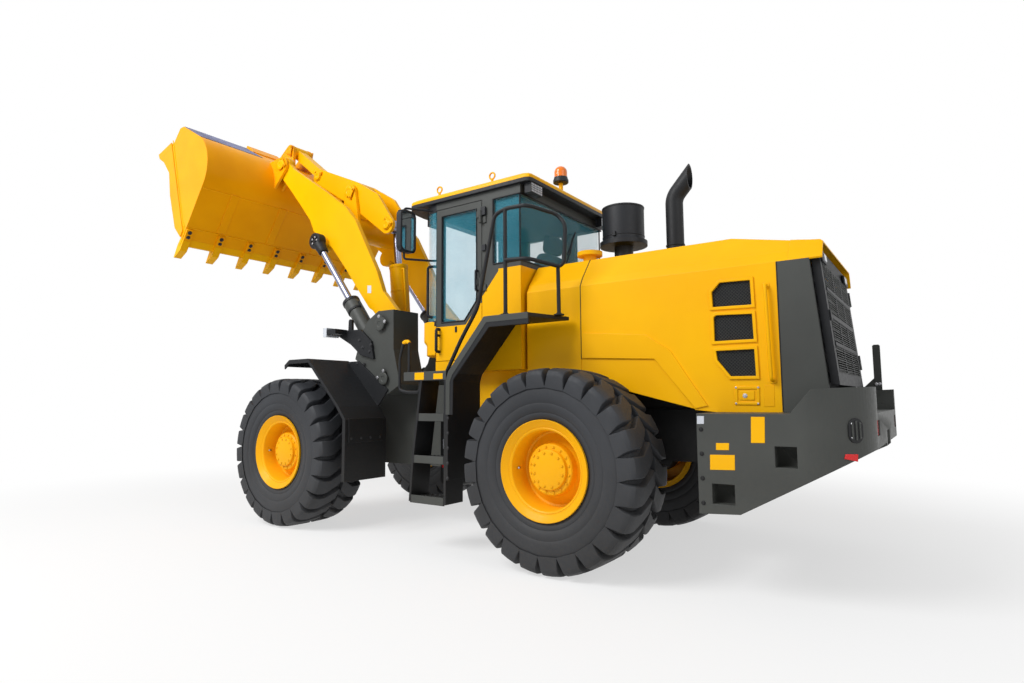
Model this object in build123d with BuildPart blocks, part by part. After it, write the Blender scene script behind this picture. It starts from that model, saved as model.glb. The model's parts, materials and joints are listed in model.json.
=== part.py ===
import os
from math import atan2, cos, degrees, hypot, radians, sin, sqrt

from build123d import *

os.makedirs("parts", exist_ok=True)

# Driving sizes in millimetres: x forward from the steering pivot, y left, z up from the ground
pivot_x = -240.0
wheelbase = 3300.0
tread = 2190.0
tyre_radius = 775.0
tyre_width = 600.0
lug_count = 24
lug_height = 42.0
lug_width = 110.0
lug_slant = 60.0
seat_radius = 350.0
flange_height = 31.0
boom_in = 480.0
boom_out = 540.0
lift_y = 635.0
lift_bore_r = 85.0
lift_rod_r = 40.0
tower_in = 435.0
tower_out = 765.0
tower_plate = 40.0
bucket_half = 1500.0
bucket_wall = 30.0
dump_angle = 54.0
tooth_count = 8
cab_half = 800.0
cab_floor_z = 1576.0
cab_sill_z = 2060.0
cab_roof_z = 3270.0
cab_wall = 55.0
hood_half = 750.0
hood_top = 2520.0
deck_z = 1205.0
weight_half = 1200.0
frame_in = 360.0
frame_out = 410.0
run_gap = 6.0
pin_gap = 1.0

# Stations that follow from the driving sizes
front_x = wheelbase / 2
rear_x = -wheelbase / 2
axle_z = tyre_radius
rim_radius = seat_radius + flange_height
pin_a = (front_x - 900, 2115)
pin_b = (front_x + 1260, 4430)
pin_c = (front_x - 960, 1535)
pin_d = (front_x + 385, 3245)
pin_e = (front_x - 450, 2000)
pin_f = (front_x + 330, 3980)
pin_g = (front_x - 313, 3445)
pin_h = (front_x + 1035, 4352)
pin_j = (front_x + 1700, 4875)
boom_tube = (front_x + 290, 3500)


def side(y):
    return Plane(origin=(pivot_x, y, 0), x_dir=(1, 0, 0), z_dir=(0, -1, 0))


def level(z):
    return Plane(origin=(pivot_x, 0, z), x_dir=(1, 0, 0), z_dir=(0, 0, 1))


def across(x):
    return Plane(origin=(pivot_x + x, 0, 0), x_dir=(0, 1, 0), z_dir=(1, 0, 0))


def bucket_plane(y):
    a = radians(dump_angle)
    return Plane(origin=(pivot_x + pin_b[0], y, pin_b[1]), x_dir=(cos(a), 0, -sin(a)), z_dir=(0, -1, 0))


def ray_plane(p, q, y, start=0.0):
    d = hypot(q[0] - p[0], q[1] - p[1])
    ux, uz = (q[0] - p[0]) / d, (q[1] - p[1]) / d
    return Plane(
        origin=(pivot_x + p[0] + ux * start, y, p[1] + uz * start), x_dir=(0, 1, 0), z_dir=(ux, 0, uz)
    )


def span(p, q):
    return hypot(q[0] - p[0], q[1] - p[1])


# A plate cut to a side outline, from y0 to y1
def slab(points, y0, y1, mode=Mode.ADD, plane=side):
    with BuildSketch(plane(y1)) as profile:
        with BuildLine():
            Polyline(*points, close=True)
        make_face()
    extrude(profile.sketch, amount=y1 - y0, mode=mode)


# A plate cut to a plan outline, from z0 to z1
def deck(points, z0, z1, mode=Mode.ADD):
    with BuildSketch(level(z0)) as profile:
        with BuildLine():
            Polyline(*points, close=True)
        make_face()
    extrude(profile.sketch, amount=z1 - z0, mode=mode)


def block(x0, x1, y0, y1, z0, z1, mode=Mode.ADD):
    slab([(x0, z0), (x1, z0), (x1, z1), (x0, z1)], y0, y1, mode)


# A round pin, boss or bore across the machine
def disc(p, r, y0, y1, mode=Mode.ADD, plane=side):
    with BuildSketch(plane(y1)) as profile:
        with Locations(p):
            Circle(r)
    extrude(profile.sketch, amount=y1 - y0, mode=mode)


# A plate that wraps a chain of round eyes
def bar(eyes, y0, y1, mode=Mode.ADD, plane=side):
    with BuildSketch(plane(y1)) as profile:
        for x, z, r in eyes:
            with Locations((x, z)):
                Circle(r)
        make_hull()
    extrude(profile.sketch, amount=y1 - y0, mode=mode)


# A round bar along the line from p to q
def stem(p, q, y, r, start, end, mode=Mode.ADD):
    with BuildSketch(ray_plane(p, q, y, start)) as profile:
        Circle(r)
    extrude(profile.sketch, amount=end - start, mode=mode)


# A round upright from z0 to z1
def post(x, y, r, z0, z1, mode=Mode.ADD):
    with BuildSketch(level(z0)) as profile:
        with Locations((x, y)):
            Circle(r)
    extrude(profile.sketch, amount=z1 - z0, mode=mode)


# A bent tube through points
def tube(points, r, bend, mode=Mode.ADD):
    with BuildLine() as path:
        FilletPolyline(*[(pivot_x + x, y, z) for x, y, z in points], radius=bend)
    with BuildSketch(Plane(origin=path.line @ 0, z_dir=path.line % 0)) as ring:
        Circle(r)
    sweep(ring.sketch, path=path.line, mode=mode)


def wheel_plane(x, hand):
    return Plane(
        origin=(pivot_x + x, hand * tread / 2, axle_z), x_dir=(0, hand, 0), z_dir=(hand, 0, 0)
    )


def spin(points, plane):
    with BuildSketch(plane) as profile:
        with BuildLine():
            Polyline(*points, close=True)
        make_face()
    revolve(profile.sketch, axis=Axis(plane.origin, plane.x_dir))


# Wheels: a faceted carcass with two rows of slanted lugs, on a dished rim with a stepped hub
half_w = tyre_width / 2
side_y = half_w - 8
bead = half_w - 35
carcass_r = tyre_radius - lug_height
shoulder_r = carcass_r - 75
belly_r = rim_radius + 139
lug_reach = (lug_slant + lug_width) / 2
lug_face = sqrt(tyre_radius**2 - lug_reach**2)
lug_lead = degrees(atan2(lug_reach, lug_face))
lug_root = shoulder_r + 12
rim_profile = [
    (-bead - 20, rim_radius), (-bead, rim_radius), (-bead, seat_radius), (bead, seat_radius),
    (bead, rim_radius), (bead + 20, rim_radius), (bead + 20, seat_radius - 20), (60, seat_radius - 20),
    (60, 250), (110, 200), (170, 195), (170, 120), (200, 112), (200, 0), (-10, 0), (-10, 100 + pin_gap),
    (-100, 100 + pin_gap), (-100, 200), (20, 210), (20, seat_radius - 20), (-bead - 20, seat_radius - 20),
]


# A many-sided step of the carcass, its flats r0 and r1 from the axle line at y0 and y1
def facet_step(x, y, row, y0, y1, r0, r1, mode=Mode.ADD):
    plane = Plane(origin=(pivot_x + x, y + row * y0, axle_z), x_dir=(1, 0, 0), z_dir=(0, row, 0))
    with BuildSketch(plane) as profile:
        RegularPolygon(r0, lug_count, major_radius=False, rotation=row * (90 - lug_lead) - 180 / lug_count)
    extrude(profile.sketch, amount=y1 - y0, taper=degrees(atan2(r0 - r1, y1 - y0)), mode=mode)


# One row of lugs, from the crown to the shoulder; a lug's corner stands on the ground
def lug_row(x, y, row, turn):
    planes = []
    for i in range(lug_count):
        a = radians(lug_lead + turn + 360 * i / lug_count - 90)
        planes.append(Plane(
            origin=(pivot_x + x + lug_root * cos(a), y, axle_z + lug_root * sin(a)),
            x_dir=(0, 1, 0), z_dir=(cos(a), 0, sin(a)),
        ))
    with BuildSketch(*planes) as lugs:
        with BuildLine():
            Polyline((row * 18, -lug_reach), (row * half_w, lug_reach - lug_width),
                     (row * half_w, lug_reach), (row * 18, lug_width - lug_reach), close=True)
        make_face()
    extrude(lugs.sketch, amount=lug_face - lug_root)


def tyre_solid(x, y):
    for row in (1, -1):
        facet_step(x, y, row, 0, side_y, carcass_r, shoulder_r)
        facet_step(x, y, row, bead, side_y, rim_radius + 4, belly_r, Mode.SUBTRACT)
    for row in (1, -1):
        facet_step(x, y, row, 0, side_y, seat_radius, seat_radius, Mode.SUBTRACT)
        lug_row(x, y, row, 90 * (1 - row) / lug_count)


for place, x, hand in (
    ("front_left", front_x, 1), ("front_right", front_x, -1),
    ("rear_left", rear_x, 1), ("rear_right", rear_x, -1),
):
    with BuildPart() as tyre:
        tyre_solid(x, hand * tread / 2)
    tyre.part.label = place + "_tyre"
    export_step(tyre.part, "parts/" + place + "_tyre.step")

    with BuildPart() as rim:
        spin(rim_profile, wheel_plane(x, hand))
    rim.part.label = place + "_rim"
    export_step(rim.part, "parts/" + place + "_rim.step")


# Axles: differential bowl, tapered arms, brake drums, spindles and the pads under the frames
pad_top = axle_z + 170
spindle_end = tread / 2 - 20


def axle_solid(x, pad_in, pad_out):
    disc((x, axle_z), 230, -190, 190)
    disc((x, axle_z), 130, -(tread / 2 - 330), tread / 2 - 330)
    for hand in (1, -1):
        ends = sorted((hand * (tread / 2 - 330), hand * (tread / 2 - 130)))
        disc((x, axle_z), 215, ends[0], ends[1])
        tips = sorted((hand * (tread / 2 - 130), hand * spindle_end))
        disc((x, axle_z), 100, tips[0], tips[1])
        pads = sorted((hand * pad_in, hand * pad_out))
        block(x - 130, x + 130, pads[0], pads[1], axle_z, pad_top)


with BuildPart() as front_axle:
    axle_solid(front_x, tower_in - 55, tower_in + 15)
front_axle.part.label = "front_axle"
export_step(front_axle.part, "parts/front_axle.step")

with BuildPart() as rear_axle:
    axle_solid(rear_x, frame_in - 15, frame_out + 15)
rear_axle.part.label = "rear_axle"
export_step(rear_axle.part, "parts/rear_axle.step")

# Front frame: two tower boxes on a deep hinge box, with the fork ears of the steering pivot
inner_y = tower_in - tower_plate
outer_y = tower_out - tower_plate
hinge_high = 1370.0
hinge_low = 680.0
ear_half = 80.0
ear_plate = 50.0
fb_x = 150.0
ear_plan = [(fb_x, 210), (0, 130), (0, -130), (fb_x, -210)]
tower_rear = [(front_x - 1184, 1468), (front_x - 1085, 1844), (front_x - 1078, 2262)]
tower_front = [
    (front_x - 845, 2263), (front_x - 686, 2172), (front_x - 596, 2052), (front_x - 489, 1762)
]

with BuildPart() as front_frame:
    slab(
        [(fb_x, 620), (fb_x, 1460)] + tower_rear + tower_front
        + [(front_x - 150, 1400), (front_x + 400, 1250), (front_x + 500, pad_top),
           (front_x - 300, pad_top), (front_x - 400, 620)],
        inner_y, tower_in,
    )
    slab(tower_rear + tower_front + [(front_x - 563, 1710), (front_x - 988, 1365)], outer_y, tower_out)
    rear_edge = [(x + 40, z) for x, z in reversed(tower_rear)]
    slab(tower_rear + rear_edge, tower_in, outer_y)
    slab(
        [(front_x - 1184, 1468), (front_x - 988, 1365), (front_x - 960, 1395), (front_x - 1150, 1495)],
        tower_in, outer_y,
    )
    disc(pin_a, 55, tower_in, tower_out + 25)
    disc(pin_a, 90, tower_in, boom_in - run_gap)
    disc(pin_a, 90, boom_out + run_gap, outer_y)
    disc(pin_c, 45, tower_in, tower_out + 20)
    mirror(about=Plane.XZ)
    block(fb_x, fb_x + 40, -inner_y, inner_y, 620, 1460)
    block(front_x - 700, front_x - 150, -inner_y, inner_y, 1290, 1330)
    block(front_x - 450, front_x - 410, -inner_y, inner_y, 640, 1290)
    block(front_x + 300, front_x + 340, -inner_y, inner_y, pad_top, 1240)
    for z in (hinge_high, hinge_low):
        for z0 in (z - ear_half, z + ear_half - ear_plate):
            deck(ear_plan, z0, z0 + ear_plate)
            with BuildSketch(level(z0)) as ear:
                Circle(130)
            extrude(ear.sketch, amount=ear_plate)
            with BuildSketch(level(z0)) as bore:
                Circle(50 + pin_gap)
            extrude(bore.sketch, amount=ear_plate, mode=Mode.SUBTRACT)
    for y0 in (72, -102):
        bar([(pin_e[0], pin_e[1], 105), (pin_e[0] - 120, 1360, 60), (pin_e[0] + 120, 1360, 60)], y0, y0 + 30)
    disc(pin_e, 40 + pin_gap, -102, 102, Mode.SUBTRACT)
front_frame.part.label = "front_frame"
export_step(front_frame.part, "parts/front_frame.step")

# Front fenders: a lip, a flat top, a sloped back and a flap behind each front wheel
fender_out = 1300.0
flap_x = front_x - 985
fender_top = [(front_x + 20, 1690), (front_x - 60, 1745), (front_x - 380, 1745), (front_x - 880, 1250),
              (flap_x, 1120), (flap_x, 520)]


def skin(points, t):
    return points + [(x - 0.1 * t, z - t) if i < 3 else (x + t, z) for i, (x, z) in
                     reversed(list(enumerate(points)))]


with BuildPart() as front_fenders:
    slab(skin(fender_top, 16), tower_out, fender_out)
    slab(skin(fender_top, 42), fender_out - 14, fender_out)
    slab([(front_x - 563, 1735), (front_x - 382, 1735), (front_x - 876, 1246), (front_x - 1020, 1420)],
         tower_out, tower_out + 16)
    mirror(about=Plane.XZ)
front_fenders.part.label = "front_fenders"
export_step(front_fenders.part, "parts/front_fenders.step")

# Head lamp arms bolted to the towers, with the lamp boxes at their ends
lamp_x = front_x - 230
with BuildPart() as lamp_arms:
    slab([(front_x - 770, 1940), (front_x - 812, 1750), (front_x - 609, 1800), (front_x - 450, 1920),
          (lamp_x, 2030), (lamp_x, 2090), (front_x - 600, 2080)], tower_out, tower_out + 30)
    block(lamp_x - 150, lamp_x, tower_out + 30, tower_out + 190, 2035, 2090)
    bar([(lamp_x - 200, 2060, 30), (lamp_x - 200, 2180, 26)], tower_out, tower_out + 30)
    mirror(about=Plane.XZ)
lamp_arms.part.label = "lamp_arms"
export_step(lamp_arms.part, "parts/lamp_arms.step")

with BuildPart() as head_lamps:
    block(lamp_x, lamp_x + 60, tower_out + 20, tower_out + 190, 2010, 2110)
    mirror(about=Plane.XZ)
head_lamps.part.label = "head_lamps"
export_step(head_lamps.part, "parts/head_lamps.step")

# Boom: two dogleg arms and the tube with the ears of the bell crank
arm_upper = [(front_x + 1258, 4556), (front_x + 1046, 4343), (front_x + 437, 3942), (front_x + 1, 3636),
             (front_x - 183, 3438), (front_x - 300, 3234), (front_x - 569, 2775), (front_x - 753, 2332)]
arm_lower = [(front_x - 450, 2360), (front_x - 272, 2571), (front_x - 40, 2858), (front_x + 227, 3160),
             (front_x + 593, 3428), (front_x + 676, 3590), (front_x + 876, 3821), (front_x + 1098, 4065),
             (front_x + 1370, 4350)]


def arm_solid(hand):
    ends = sorted((hand * boom_in, hand * boom_out))
    slab(arm_upper + [pin_a] + arm_lower, ends[0], ends[1])
    bar([(pin_a[0], pin_a[1], 125), (front_x - 600, 2420, 130)], ends[0], ends[1])
    disc(pin_b, 125, ends[0], ends[1])
    disc(pin_a, 55 + pin_gap, ends[0], ends[1], Mode.SUBTRACT)
    disc(pin_d, 110, ends[0], ends[1])
    boss = sorted((hand * boom_out, hand * (lift_y - 50 - run_gap)))
    disc(pin_d, 75, boss[0], boss[1])
    pin = sorted((hand * (boom_in - 50), hand * (boom_out + 52)))
    disc(pin_b, 45, pin[0], pin[1])


with BuildPart() as left_boom_arm:
    arm_solid(1)
left_boom_arm.part.label = "left_boom_arm"
export_step(left_boom_arm.part, "parts/left_boom_arm.step")

with BuildPart() as right_boom_arm:
    arm_solid(-1)
right_boom_arm.part.label = "right_boom_arm"
export_step(right_boom_arm.part, "parts/right_boom_arm.step")

tilt_bore_r = 110.0
slot_half = tilt_bore_r + 8
crank_half = slot_half + 42
eye_half = slot_half - run_gap
with BuildPart() as boom_tie:
    disc(boom_tube, 150, -boom_in, boom_in)
    ear0 = crank_half + run_gap
    for y0 in (ear0, -ear0 - 40):
        bar([(pin_f[0], pin_f[1], 100), (boom_tube[0], boom_tube[1], 150)], y0, y0 + 40)
    disc(pin_f, 45, -ear0 - 55, ear0 + 55)
boom_tie.part.label = "boom_tie"
export_step(boom_tie.part, "parts/boom_tie.step")

# Bell crank on the boom: two plates on a hub, open at both ends, and the link to the bucket
with BuildPart() as bell_crank:
    crank_arch = ((pin_g[0] + pin_f[0]) / 2 - 40, (pin_g[1] + pin_f[1]) / 2 + 48, 150)
    for y0 in (slot_half, -crank_half):
        bar([(*pin_g, 105), crank_arch, (*pin_f, 150)], y0, y0 + crank_half - slot_half)
        bar([(*pin_f, 150), (*pin_h, 100)], y0, y0 + crank_half - slot_half)
    disc(pin_f, 150, -crank_half, crank_half)
    disc(pin_f, 45 + pin_gap, -crank_half, crank_half, Mode.SUBTRACT)
    for pin in (pin_g, pin_h):
        for y0 in (crank_half, -crank_half - 12):
            disc(pin, 62, y0, y0 + 12)
bell_crank.part.label = "bell_crank"
export_step(bell_crank.part, "parts/bell_crank.step")

with BuildPart() as bucket_link:
    bar([(*pin_h, 62), (*pin_j, 62)], -70, 70)
    disc(pin_h, 80, -eye_half, eye_half)
    disc(pin_j, 85, -eye_half, eye_half)
    disc(pin_j, 40 + pin_gap, -eye_half, eye_half, Mode.SUBTRACT)
bucket_link.part.label = "bucket_link"
export_step(bucket_link.part, "parts/bucket_link.step")

# Bucket in its own plane: u along the floor, w up from it, from the hinge pin
floor_w = -100.0
heel_r = 450.0
heel_u = 520.0
edge_u = 1270.0
tooth_tip = 1560.0
lip = (121, 838)


def bucket_face(inset):
    with BuildSketch(bucket_plane(bucket_half - inset)) as profile:
        with BuildLine():
            r = heel_r - inset
            Polyline((edge_u, floor_w + inset), (heel_u, floor_w + inset))
            CenterArc((heel_u, floor_w + heel_r), r, 180, 90)
            Polyline((heel_u - r, floor_w + heel_r), (lip[0] + inset, lip[1]), (lip[0] + inset, 1300),
                     (edge_u, 1300), (edge_u, floor_w + inset))
        make_face()
    extrude(profile.sketch, amount=2 * (bucket_half - inset), mode=Mode.ADD if inset == 0 else Mode.SUBTRACT)


guard = (lip[0] + 52, lip[1] + 70)
cutter = [(667, 1195), (703, 1132), (692, 988), (744, 762), (965, 539), (edge_u - 30, 140),
          (edge_u, floor_w + 40)]
under_w = floor_w - 400
cheek = [lip, guard, (377, 935)] + cutter + [(edge_u, under_w), (-400, under_w), (-400, lip[1])]
dump = radians(dump_angle)
reach_x, reach_z = pin_j[0] - pin_b[0], pin_j[1] - pin_b[1]
ju = reach_x * cos(dump) - reach_z * sin(dump)
jw = reach_x * sin(dump) + reach_z * cos(dump)
hinge_lugs = ((boom_in - run_gap - 34, boom_in - run_gap), (boom_out + run_gap, boom_out + run_gap + 34))
with BuildPart() as bucket:
    bucket_face(0)
    slab(cheek, -bucket_half, bucket_half, Mode.INTERSECT, bucket_plane)
    for y0, y1 in hinge_lugs:
        for a, b in ((y0, y1), (-y1, -y0)):
            bar([(0, 0, 115), (190, 330, 40), (400, 0, 40)], a, b, plane=bucket_plane)
    for y0 in (slot_half, -slot_half - 40):
        bar([(ju, jw, 90), (140, 380, 40), (160, 760, 40)], y0, y0 + 40, plane=bucket_plane)
    bucket_face(bucket_wall)
    slab([lip, guard, (guard[0] + 24, guard[1] - 10), (lip[0] + bucket_wall, lip[1])],
         -bucket_half, bucket_half, plane=bucket_plane)
    for y0 in (bucket_half, -bucket_half - 14):
        slab(cutter + [(edge_u - 90, floor_w + 40), (edge_u - 165, 45), (407, 980)], y0, y0 + 14,
             plane=bucket_plane)
    disc((ju, jw), 40, -slot_half - 55, slot_half + 55, plane=bucket_plane)
    disc((0, 0), 45 + pin_gap, -bucket_half, bucket_half, Mode.SUBTRACT, bucket_plane)
bucket.part.label = "bucket"
export_step(bucket.part, "parts/bucket.step")

with BuildPart() as bucket_edge:
    slab([(edge_u, floor_w), (edge_u, floor_w + 40), (edge_u + 70, floor_w + 22), (edge_u + 100, floor_w)],
         -bucket_half, bucket_half, plane=bucket_plane)
    for i in range(tooth_count):
        y = -bucket_half + 50 + i * (2 * bucket_half - 100) / (tooth_count - 1)
        slab([(edge_u + 10, floor_w - 35), (edge_u + 10, floor_w + 50), (edge_u + 120, floor_w + 62),
              (tooth_tip, floor_w + 45), (tooth_tip, floor_w + 35), (edge_u + 150, floor_w - 35)],
             y - 45, y + 45, plane=bucket_plane)
bucket_edge.part.label = "bucket_edge"
export_step(bucket_edge.part, "parts/bucket_edge.step")

# Lift cylinders beside the boom arms
lift_len = span(pin_c, pin_d)
lift_head = 1150.0
with BuildPart() as lift_barrels:
    disc(pin_c, 95, lift_y - 45, lift_y + 45)
    stem(pin_c, pin_d, lift_y, lift_bore_r, 70, lift_head)
    stem(pin_c, pin_d, lift_y, lift_bore_r + 10, lift_head - 160, lift_head)
    stem(pin_c, pin_d, lift_y, lift_rod_r + pin_gap, 160, lift_head, Mode.SUBTRACT)
    disc(pin_c, 45 + pin_gap, lift_y - 45, lift_y + 45, Mode.SUBTRACT)
    mirror(about=Plane.XZ)
lift_barrels.part.label = "lift_barrels"
export_step(lift_barrels.part, "parts/lift_barrels.step")

with BuildPart() as lift_rods:
    disc(pin_d, 95, lift_y - 50, lift_y + 50)
    stem(pin_c, pin_d, lift_y, lift_rod_r, lift_len - 1140, lift_len - 60)
    stem(pin_c, pin_d, lift_y, 55, lift_len - 150, lift_len - 60)
    mirror(about=Plane.XZ)
lift_rods.part.label = "lift_rods"
export_step(lift_rods.part, "parts/lift_rods.step")

# Tilt cylinder on the centre line: base pin, barrel, rod and the stepped eye
tilt_len = span(pin_e, pin_g)
tilt_head = 960.0
with BuildPart() as tilt_pin:
    disc(pin_e, 40, -120, 120)
tilt_pin.part.label = "tilt_pin"
export_step(tilt_pin.part, "parts/tilt_pin.step")

with BuildPart() as tilt_barrel:
    disc(pin_e, 100, -66, 66)
    stem(pin_e, pin_g, 0, 60, 60, 190)
    stem(pin_e, pin_g, 0, tilt_bore_r, 170, tilt_head)
    stem(pin_e, pin_g, 0, 55 + pin_gap, 190, tilt_head, Mode.SUBTRACT)
    disc(pin_e, 40 + pin_gap, -66, 66, Mode.SUBTRACT)
tilt_barrel.part.label = "tilt_barrel"
export_step(tilt_barrel.part, "parts/tilt_barrel.step")

with BuildPart() as tilt_rod:
    stem(pin_e, pin_g, 0, 55, 200, tilt_head + 15)
    stem(pin_e, pin_g, 0, 46, 400, tilt_head + 15, Mode.SUBTRACT)
tilt_rod.part.label = "tilt_rod"
export_step(tilt_rod.part, "parts/tilt_rod.step")

with BuildPart() as tilt_eye:
    disc(pin_g, 85, -eye_half, eye_half)
    stem(pin_e, pin_g, 0, 45, tilt_head - 120, tilt_len - 50)
tilt_eye.part.label = "tilt_eye"
export_step(tilt_eye.part, "parts/tilt_eye.step")

# Rear frame: rails, bulkhead, outriggers and the single ears with the steering pins
weight_x = rear_x - 1115
rail_top = deck_z + 15
bulk_x = -180.0
rear_ear = [(bulk_x, 210), (0, 130), (0, -130), (bulk_x, -210)]
ear_in = ear_half - ear_plate - run_gap
with BuildPart() as rear_frame:
    slab([(bulk_x, 800), (bulk_x, rail_top), (weight_x, rail_top), (weight_x, 800), (rear_x - 320, 800),
          (rear_x - 180, pad_top), (rear_x + 180, pad_top), (rear_x + 320, 800)], frame_in, frame_out)
    for x in (-1150, rear_x + 30):
        block(x - 40, x + 40, frame_out, hood_half, rail_top - 80, rail_top)
    mirror(about=Plane.XZ)
    block(bulk_x - 80, bulk_x, -frame_out, frame_out, 620, 1460)
    block(rear_x + 640, rear_x + 680, -frame_in, frame_in, 800, rail_top)
    for z in (hinge_high, hinge_low):
        deck(rear_ear, z - ear_in, z + ear_in)
        with BuildSketch(level(z - ear_in)) as ear:
            Circle(130)
        extrude(ear.sketch, amount=2 * ear_in)
        with BuildSketch(level(z - ear_half - 15)) as pin:
            Circle(50)
        extrude(pin.sketch, amount=2 * ear_half + 30)
rear_frame.part.label = "rear_frame"
export_step(rear_frame.part, "parts/rear_frame.step")

# Oil and fuel tanks hung on the rails under the cab
with BuildPart() as side_tanks:
    block(-560, -300, frame_out, 990, 540, 1180)
    mirror(about=Plane.XZ)
    fillet(side_tanks.edges().filter_by(Axis.Y), radius=40)
side_tanks.part.label = "side_tanks"
export_step(side_tanks.part, "parts/side_tanks.step")

with BuildPart() as engine_block:
    block(rear_x - 1000, rear_x + 300, -frame_in, frame_in, axle_z + 260, 2000)
engine_block.part.label = "engine_block"
export_step(engine_block.part, "parts/engine_block.step")

# Counterweight with raised rear lobes, a rounded back and the tow slot with its pin bore
tail_x = rear_x - 2130
tow_x = tail_x + 75
tow_r = 26.0
tow_half = 170.0
tail_low_z = 985.0
with BuildPart() as counterweight:
    slab([(weight_x, 549), (weight_x - 265, 565), (tail_x, tail_low_z), (tail_x, deck_z),
          (weight_x, deck_z)], -weight_half, weight_half)
    block(tail_x, tail_x + 420, -tow_half, tow_half, 800, deck_z)
    slab([(rear_x - 1697, deck_z), (rear_x - 1822, 1358), (tail_x, 1370), (tail_x, deck_z)],
         -weight_half, weight_half)
    block(tail_x, weight_x, -hood_half - run_gap, hood_half + run_gap, deck_z, 1500, Mode.SUBTRACT)
    with BuildSketch(level(400)) as plan:
        with BuildLine():
            Polyline((weight_x, -weight_half), (tail_x + 380, -weight_half))
            RadiusArc((tail_x + 380, -weight_half), (tail_x, 380 - weight_half), 380)
            Line((tail_x, 380 - weight_half), (tail_x, weight_half - 380))
            RadiusArc((tail_x, weight_half - 380), (tail_x + 380, weight_half), 380)
            Polyline((tail_x + 380, weight_half), (weight_x, weight_half), (weight_x, -weight_half))
        make_face()
    extrude(plan.sketch, amount=1200, mode=Mode.INTERSECT)
    block(tail_x, tail_x + 170, -110, 110, 930, 1070, Mode.SUBTRACT)
    with BuildSketch(level(700)) as bore:
        with Locations((tow_x, 0)):
            Circle(tow_r)
    extrude(bore.sketch, amount=700, mode=Mode.SUBTRACT)
    for hand in (1, -1):
        ys = sorted((hand * (weight_half - 120), hand * weight_half))
        block(rear_x - 1350, rear_x - 1205, ys[0], ys[1], 620, 750, Mode.SUBTRACT)
        block(rear_x - 1730, rear_x - 1602, ys[0], ys[1], 875, 1005, Mode.SUBTRACT)
        ys = sorted((hand * (weight_half - 560), hand * (weight_half - 390)))
        block(tail_x, tail_x + 60, ys[0], ys[1], 1060, 1160, Mode.SUBTRACT)
counterweight.part.label = "counterweight"
export_step(counterweight.part, "parts/counterweight.step")

with BuildPart() as tail_lamps:
    for hand in (1, -1):
        ys = sorted((hand * (weight_half - 560), hand * (weight_half - 390)))
        block(tail_x + 10, tail_x + 60, ys[0], ys[1], 1060, 1160)
tail_lamps.part.label = "tail_lamps"
export_step(tail_lamps.part, "parts/tail_lamps.step")

# Hood: front cover, main shell with an arch and a sloped tail, dark rear sides, grille door
hood_wall = 30.0
hood_seam = rear_x - 5
hood_break = rear_x - 1220
hood_tail = rear_x - 1570
hood_end = rear_x - 1900
tail_split = hood_top - 260
tail_drop = 130.0
tail_top = (rear_x - 1770, hood_top - 150)
tail_low = (rear_x - 1860, deck_z + 185)


def hood_section(inset, drop):
    h = hood_half - inset
    t = hood_top - inset - drop
    return [(-h, deck_z - 20), (-h, t - 260), (-h + 40, t - 190), (-560, t),
            (560, t), (h - 40, t - 190), (h, t - 260), (h, deck_z - 20)]


def shell(x0, x1, drop=0.0):
    for inset, fall, mode in ((0, 0, Mode.ADD), (hood_wall, drop, Mode.SUBTRACT)):
        with BuildSketch(across(x0)) as profile:
            with BuildLine():
                Polyline(*hood_section(inset, fall), close=True)
            make_face()
        extrude(profile.sketch, amount=x1 - x0, mode=mode)


# What lies above the sloped tail and behind the grille line
def tail_cut():
    slab([(hood_break, hood_top + 80), (hood_break, hood_top), (rear_x - 1690, hood_top - 105), tail_top,
          tail_low, (tail_low[0], deck_z), (hood_end - 100, deck_z), (hood_end - 100, hood_top + 80)],
         -hood_half, hood_half, Mode.SUBTRACT)


with BuildPart() as hood_front:
    shell(hood_seam, -1110)
    block(hood_seam, -1110, -hood_half, hood_half, deck_z - 30, rail_top, Mode.SUBTRACT)
    post(rear_x + 55, 450, 60, hood_top, hood_top + 60)
    post(rear_x + 55, 450, 112, hood_top + 60, hood_top + 98)
hood_front.part.label = "hood_front"
export_step(hood_front.part, "parts/hood_front.step")

vents = [
    [(rear_x - 1112, 2090), (rear_x - 1173, 2155), (rear_x - 1390, 2150), (rear_x - 1395, 1970),
     (rear_x - 1116, 1976)],
    [(rear_x - 1120, 1900), (rear_x - 1140, 1915), (rear_x - 1395, 1905), (rear_x - 1400, 1722),
     (rear_x - 1120, 1722)],
    [(rear_x - 1128, 1652), (rear_x - 1400, 1652), (rear_x - 1405, 1460), (rear_x - 1229, 1462),
     (rear_x - 1135, 1585)],
]
with BuildPart() as hood:
    shell(hood_break, hood_seam)
    shell(hood_end, hood_break, tail_drop)
    tail_cut()
    block(hood_end, hood_tail, -hood_half, hood_half, deck_z - 30, tail_split, Mode.SUBTRACT)
    for vent in vents:
        slab(vent, -hood_half, hood_half, Mode.SUBTRACT)
    slab([(hood_seam, 1100), (hood_seam, 1642), (rear_x - 656, 1607), (rear_x - 960, deck_z + 15),
          (weight_x, deck_z), (hood_tail, deck_z), (hood_tail, 1100)], -hood_half, hood_half, Mode.SUBTRACT)
hood.part.label = "hood"
export_step(hood.part, "parts/hood.step")

with BuildPart() as hood_vents:
    for vent in vents:
        slab(vent, hood_half - 22, hood_half - 14)
    mirror(about=Plane.XZ)
hood_vents.part.label = "hood_vents"
export_step(hood_vents.part, "parts/hood_vents.step")

grille_half = 690.0
grille_y = -grille_half - 16
grille_low = (tail_low[0] - 60, tail_low[1] - 2)
grille_top = (tail_top[0] - 60, tail_top[1] - 26)
grille_lugs = (150, 700)
grille_rise = span(grille_low, grille_top)
slat_count = 11


def grille_point(s, lead):
    return (grille_low[0] + (grille_top[0] - grille_low[0]) * s / grille_rise + lead,
            grille_low[1] + (grille_top[1] - grille_low[1]) * s / grille_rise)


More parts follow.
